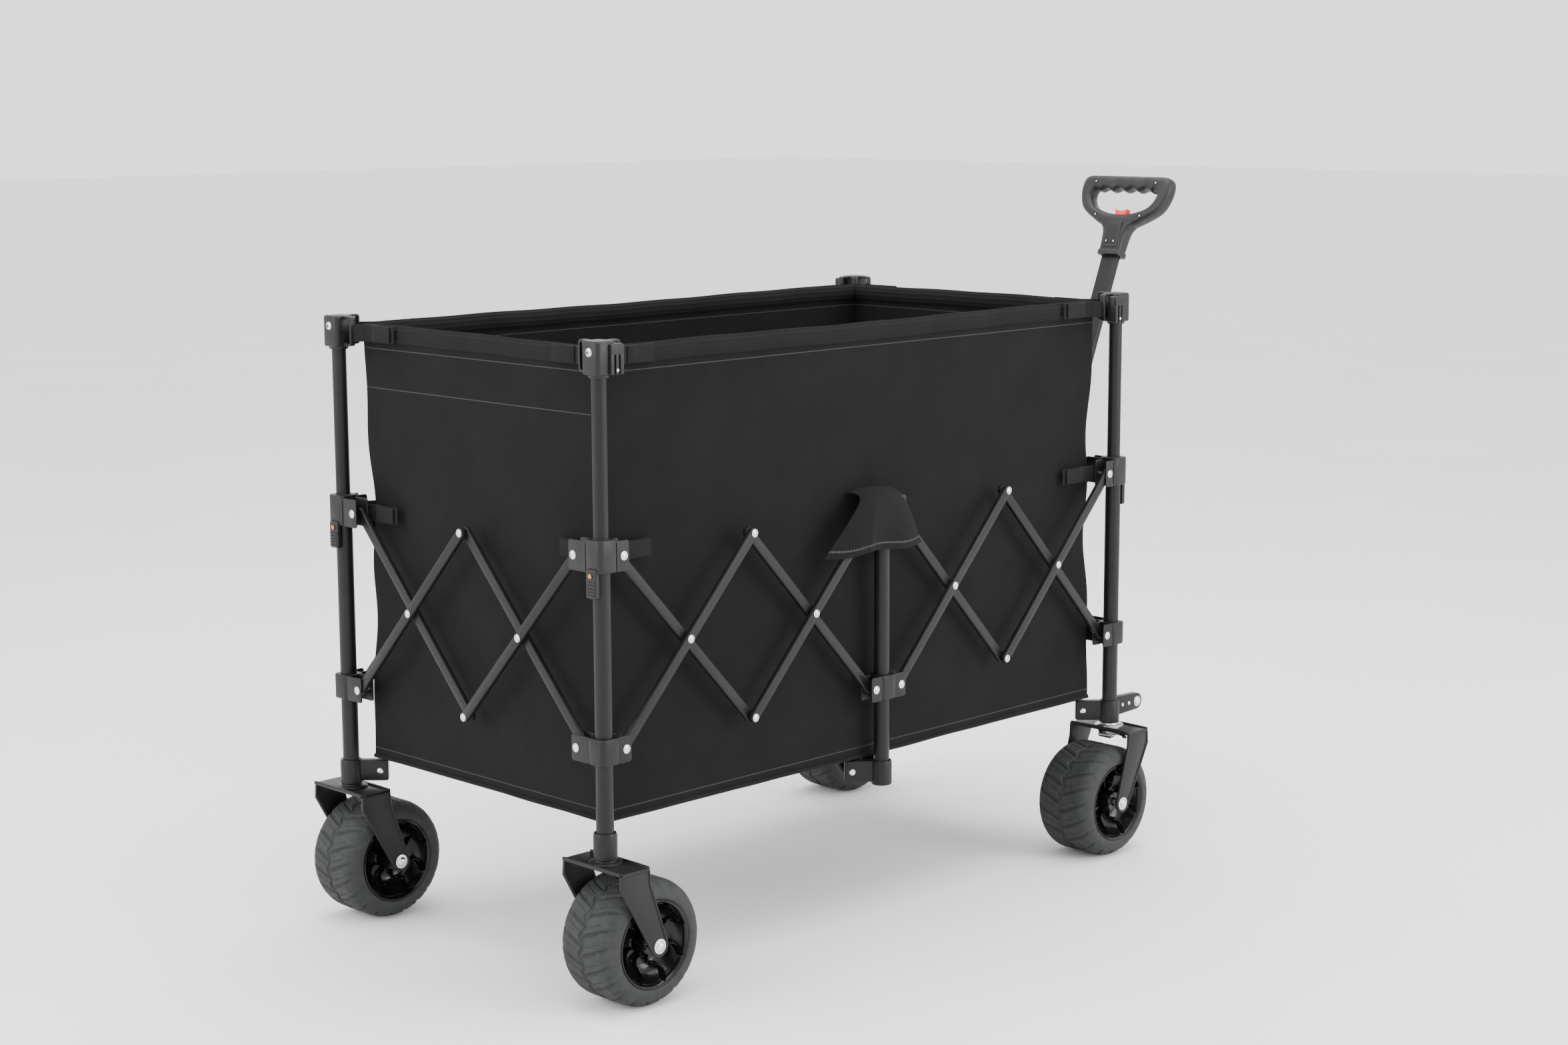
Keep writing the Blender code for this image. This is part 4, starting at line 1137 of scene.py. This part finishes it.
def sheet_piece(name, body, points, uv, made, replaces=()):
    """One layer of cloth: grid points, a UV map in metres, and quads facing outwards."""
    n, m = points.shape[:2]
    i, j = np.meshgrid(np.arange(n - 1), np.arange(m - 1), indexing="ij")
    quads = np.stack([i * m + j, (i + 1) * m + j, (i + 1) * m + j + 1, i * m + j + 1], -1).reshape(-1, 4)
    mesh = bpy.data.meshes.new(name)
    mesh.from_pydata(points.reshape(-1, 3).tolist(), [], quads.tolist())
    layer = mesh.uv_layers.new(name="cloth")
    layer.uv.foreach_set("vector", uv.reshape(-1, 2)[quads.ravel()].ravel())
    mesh.materials.append(made)
    mesh.shade_smooth()
    made_piece = bpy.data.objects.new(name, mesh)
    bpy.context.scene.collection.objects.link(made_piece)
    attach(made_piece, body)
    if replaces:
        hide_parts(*replaces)
    return made_piece


def folded_share(axis):
    """Folded over open distance between opposite walls: the posts close in, the insets stay."""
    limit = next(j for j in frame["joints"] if j["name"] == "fold")["range_deg"][1]
    unit = pivot("right_rear", 1, 0)[0] - pivot("right_rear", 0, 0)[0]
    bar = math.hypot(unit, PIVOT_TOP - PIVOT_LOW)
    small = bar * math.cos(math.atan2(PIVOT_TOP - PIVOT_LOW, unit) + math.radians(limit))
    whole = 2 * abs(np.dot(HALF, axis))
    crosses = 4 if abs(axis[0]) > 0.5 else 2
    inset = abs(np.dot(HALF, axis)) - abs(np.dot(BASKET_HALF, axis))
    return (whole - crosses * (unit - small) - 2 * inset) / (whole - 2 * inset)


def fold_with(made_piece, wall):
    axis = WALLS[wall][3]
    folded_share(axis)
    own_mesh(made_piece)


def make_wall(name):
    start, end, _, _, made, _ = WALLS[name]
    length = np.linalg.norm((np.array(end) - start) * BASKET_HALF[:2])
    columns = int(length / 0.006)
    u, v = np.meshgrid(np.linspace(0, length, columns), np.linspace(0, WALL_HEIGHT - 0.004, 100),
                       indexing="ij")
    points = wall_points(name, u, v)
    wall = sheet_piece(f"wall_{name}", BODY[RIDES[name]], points, np.stack([u, v], -1), made, ("basket",))
    fold_with(wall, name)
    return length


for name in WALLS:
    print("wall", name, "length", round(make_wall(name), 3))

# %% [markdown]
# The rim is bound with a thick, rolled and ribbed tape, and the bottom edge has a thin piping.
# Both follow the wall's own points, so they bend with its folds.


# %% Rim binding and piping
def make_edging(name, label, height, section, made, lift):
    start, end = WALLS[name][:2]
    length = np.linalg.norm((np.array(end) - start) * BASKET_HALF[:2])
    u = np.linspace(0, length, 220)[:, None]
    line = wall_points(name, u, np.full_like(u, height))[:, 0]
    wave = 0.0004 * np.sin(u[:, 0] * 37 + WALLS[name][5]) + 0.0008 * np.sin(u[:, 0] * 9)
    line = line + Z * (wave + lift)[:, None]
    edging = piece(f"{label}_{name}", BODY[RIDES[name]], [swept(line, section, made, Z)], smooth=60)
    fold_with(edging, name)


turn = full_turn(44)
ribbed = 1 + 0.07 * np.cos(turn * 11)
RIM_SECTION = np.stack([0.0058 * np.cos(turn) * ribbed, 0.0130 * np.sin(turn) * ribbed], 1)
PIPING = 0.0032 * np.stack([np.cos(turn[::3]), np.sin(turn[::3])], 1)
for name in WALLS:
    make_edging(name, "rim_binding", WALL_HEIGHT - 0.012, RIM_SECTION, BINDING, 0.0)
    make_edging(name, "hem_piping", 0.003, PIPING, BINDING, 0.0)

# %% [markdown]
# The floor is three panels in a row, like the stiffened mat of such a wagon. Each rides on a post beside it.


# %% Basket floor
def make_floor(number, body):
    third = 2 * (BASKET_HALF[0] - 0.004) / 3
    wide = 2 * (BASKET_HALF[1] - 0.004)
    u, v = np.meshgrid(np.linspace(0, third, 60), np.linspace(0, wide, 90), indexing="ij")
    x = CENTRE[0] + (number - 1.5) * third + u
    y = CENTRE[1] - wide / 2 + v
    bend = 0.0015 * np.exp(-((np.minimum(u, third - u) / 0.006) ** 2))
    z = BASKET_LOW[2] + 0.009 + 0.003 * number + 0.0012 * np.cos(u * 9) * np.cos(v * 13) - bend
    uv = np.stack([u, v + 2], -1)
    floor = sheet_piece(f"basket_floor_{number}", body, np.stack([x, y, z], -1), uv, FABRIC, ("basket",))
    folded_share(Y)
    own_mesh(floor)


for number, body in enumerate((BODY["rear_right"], BODY["right"], BODY["front_right"])):
    make_floor(number, body)

# %% [markdown]
# A cloth flap, wider at its lower edge, is sewn to each long wall and covers the top of the middle
# post. Short webbing straps tie each corner of the basket to its post, at the cap and at the
# bracket below it. They are folded back and sewn in a box.


# %% Flaps and straps
def make_flap(side):
    """A path over the bracket, from the wall outwards and down, widened towards its lower edge."""
    sy, foot = MIDDLES[side], FEET[side]
    wall_y, post_y = BASKET_HALF[1] + 0.002, abs(foot[1] - CENTRE[1]) + OUTER_FACE + PLATE + 0.006
    top = BRACKET_TOP + 0.008
    path = smooth_path([(wall_y, top, 0), (wall_y + 0.012, top + 0.001, 0), (post_y - 0.012, top - 0.002, 0),
                        (post_y - 0.001, top - 0.012, 0), (post_y + 0.002, PIVOT_TOP - 0.010, 0),
                        (post_y + 0.001, PIVOT_TOP - 0.056, 0)], 60)
    down = np.linspace(0, 1, 60)[None, :]
    u = np.linspace(-1, 1, 70)[:, None]
    fall = np.clip((top - path[None, :, 1]) / (top - PIVOT_TOP + 0.056), 0, 1)
    half = 0.040 + 0.064 * fall
    x = foot[0] + u * half - 0.012 - 0.020 * fall
    ridge = np.exp(-((u + 0.45 - 0.3 * fall) / 0.08) ** 2)
    crease = 0.0016 * np.sin(u * 6 + 4 * down) * fall + 0.0018 * ridge * fall
    tuck = 1 - 0.16 * np.abs(u) ** 3
    y = wall_y + (path[None, :, 0] - wall_y) * tuck + crease
    z = path[None, :, 1] - 0.004 * u**2 * (1 - fall) + 0.0025 * np.cos(u * 5) * fall
    x, y, z = np.broadcast_arrays(x, y, z)
    points = np.stack([x, CENTRE[1] + sy * y, z], -1)
    flat_u, flat_v = np.broadcast_arrays(u * 0.08, 0.125 * (1 - down))
    flap = sheet_piece(f"flap_{side}", BODY[side], points, np.stack([flat_u, flat_v], -1), FLAP_CLOTH)


FLAP_CLOTH = cloth("flap_cloth", 0.0055, 0.0080, 0.0008, (0.007,))
for side in MIDDLES:
    make_flap(side)
STRAP_HALF, STRAP_THICK = 0.0125, 0.0022


def make_straps(post):
    """Webbing swept along a plan line: from the loop at the post, in to the wall, and along it."""
    patches = []
    for away, normal in corner_sides(post):
        foot = FEET[post]
        inset = (abs(np.dot(foot - CENTRE, normal)) - BASKET_HALF[0 if abs(normal[0]) > 0.5 else 1])
        for height, start, over in ((CAP_LOW + 0.021, 0.0285, 0.0036), (PIVOT_TOP - 0.001, 0.0215, 0.0)):
            depth = -0.001 if over else INNER_FACE - 0.004
            plan = [(start, depth), (start + 0.010, depth - 0.002), (start + 0.030, -inset + 0.0050 + over),
                    (start + 0.045, -inset + 0.0066 + over),
                    (start + 0.085, -inset + 0.0070 + over)]
            path = smooth_path([foot + away * a + normal * d + Z * height for a, d in plan], 40)
            section = rounded_rect(STRAP_THICK, 2 * STRAP_HALF, 0.0008, 4)
            patches.append(swept(path, section, WEBBING, Z))
            fold_back = path[16:32] + normal * STRAP_THICK * 0.9
            patches.append(swept(fold_back, section * [1, 0.98], WEBBING, Z))
            patches.append(swept(path[24:38:1] + normal * STRAP_THICK * 1.7, section * [0.8, 0.94], WEBBING,
                                 Z))
    return piece(f"straps_{post}", BODY[post], patches, smooth=50)


for post in CORNERS:
    make_straps(post)
print("fabric made")

# %% [markdown]
# ## Floor
# A pale floor catches a soft shadow. It isn't part of the wagon.


# %% Floor
def studio_floor():
    made = finish("studio_floor", grey(0.86), 0.9)
    tones(made, noise(made, 0.6), grey(0.85), grey(0.88))
    mesh = bpy.data.meshes.new("studio_floor")
    mesh.from_pydata([(-30, -30, -0.0005), (30, -30, -0.0005), (30, 30, -0.0005), (-30, 30, -0.0005)], [],
                     [(0, 1, 2, 3)])
    mesh.materials.append(made)
    ground = bpy.data.objects.new("studio_floor", mesh)
    bpy.context.scene.collection.objects.link(ground)


studio_floor()
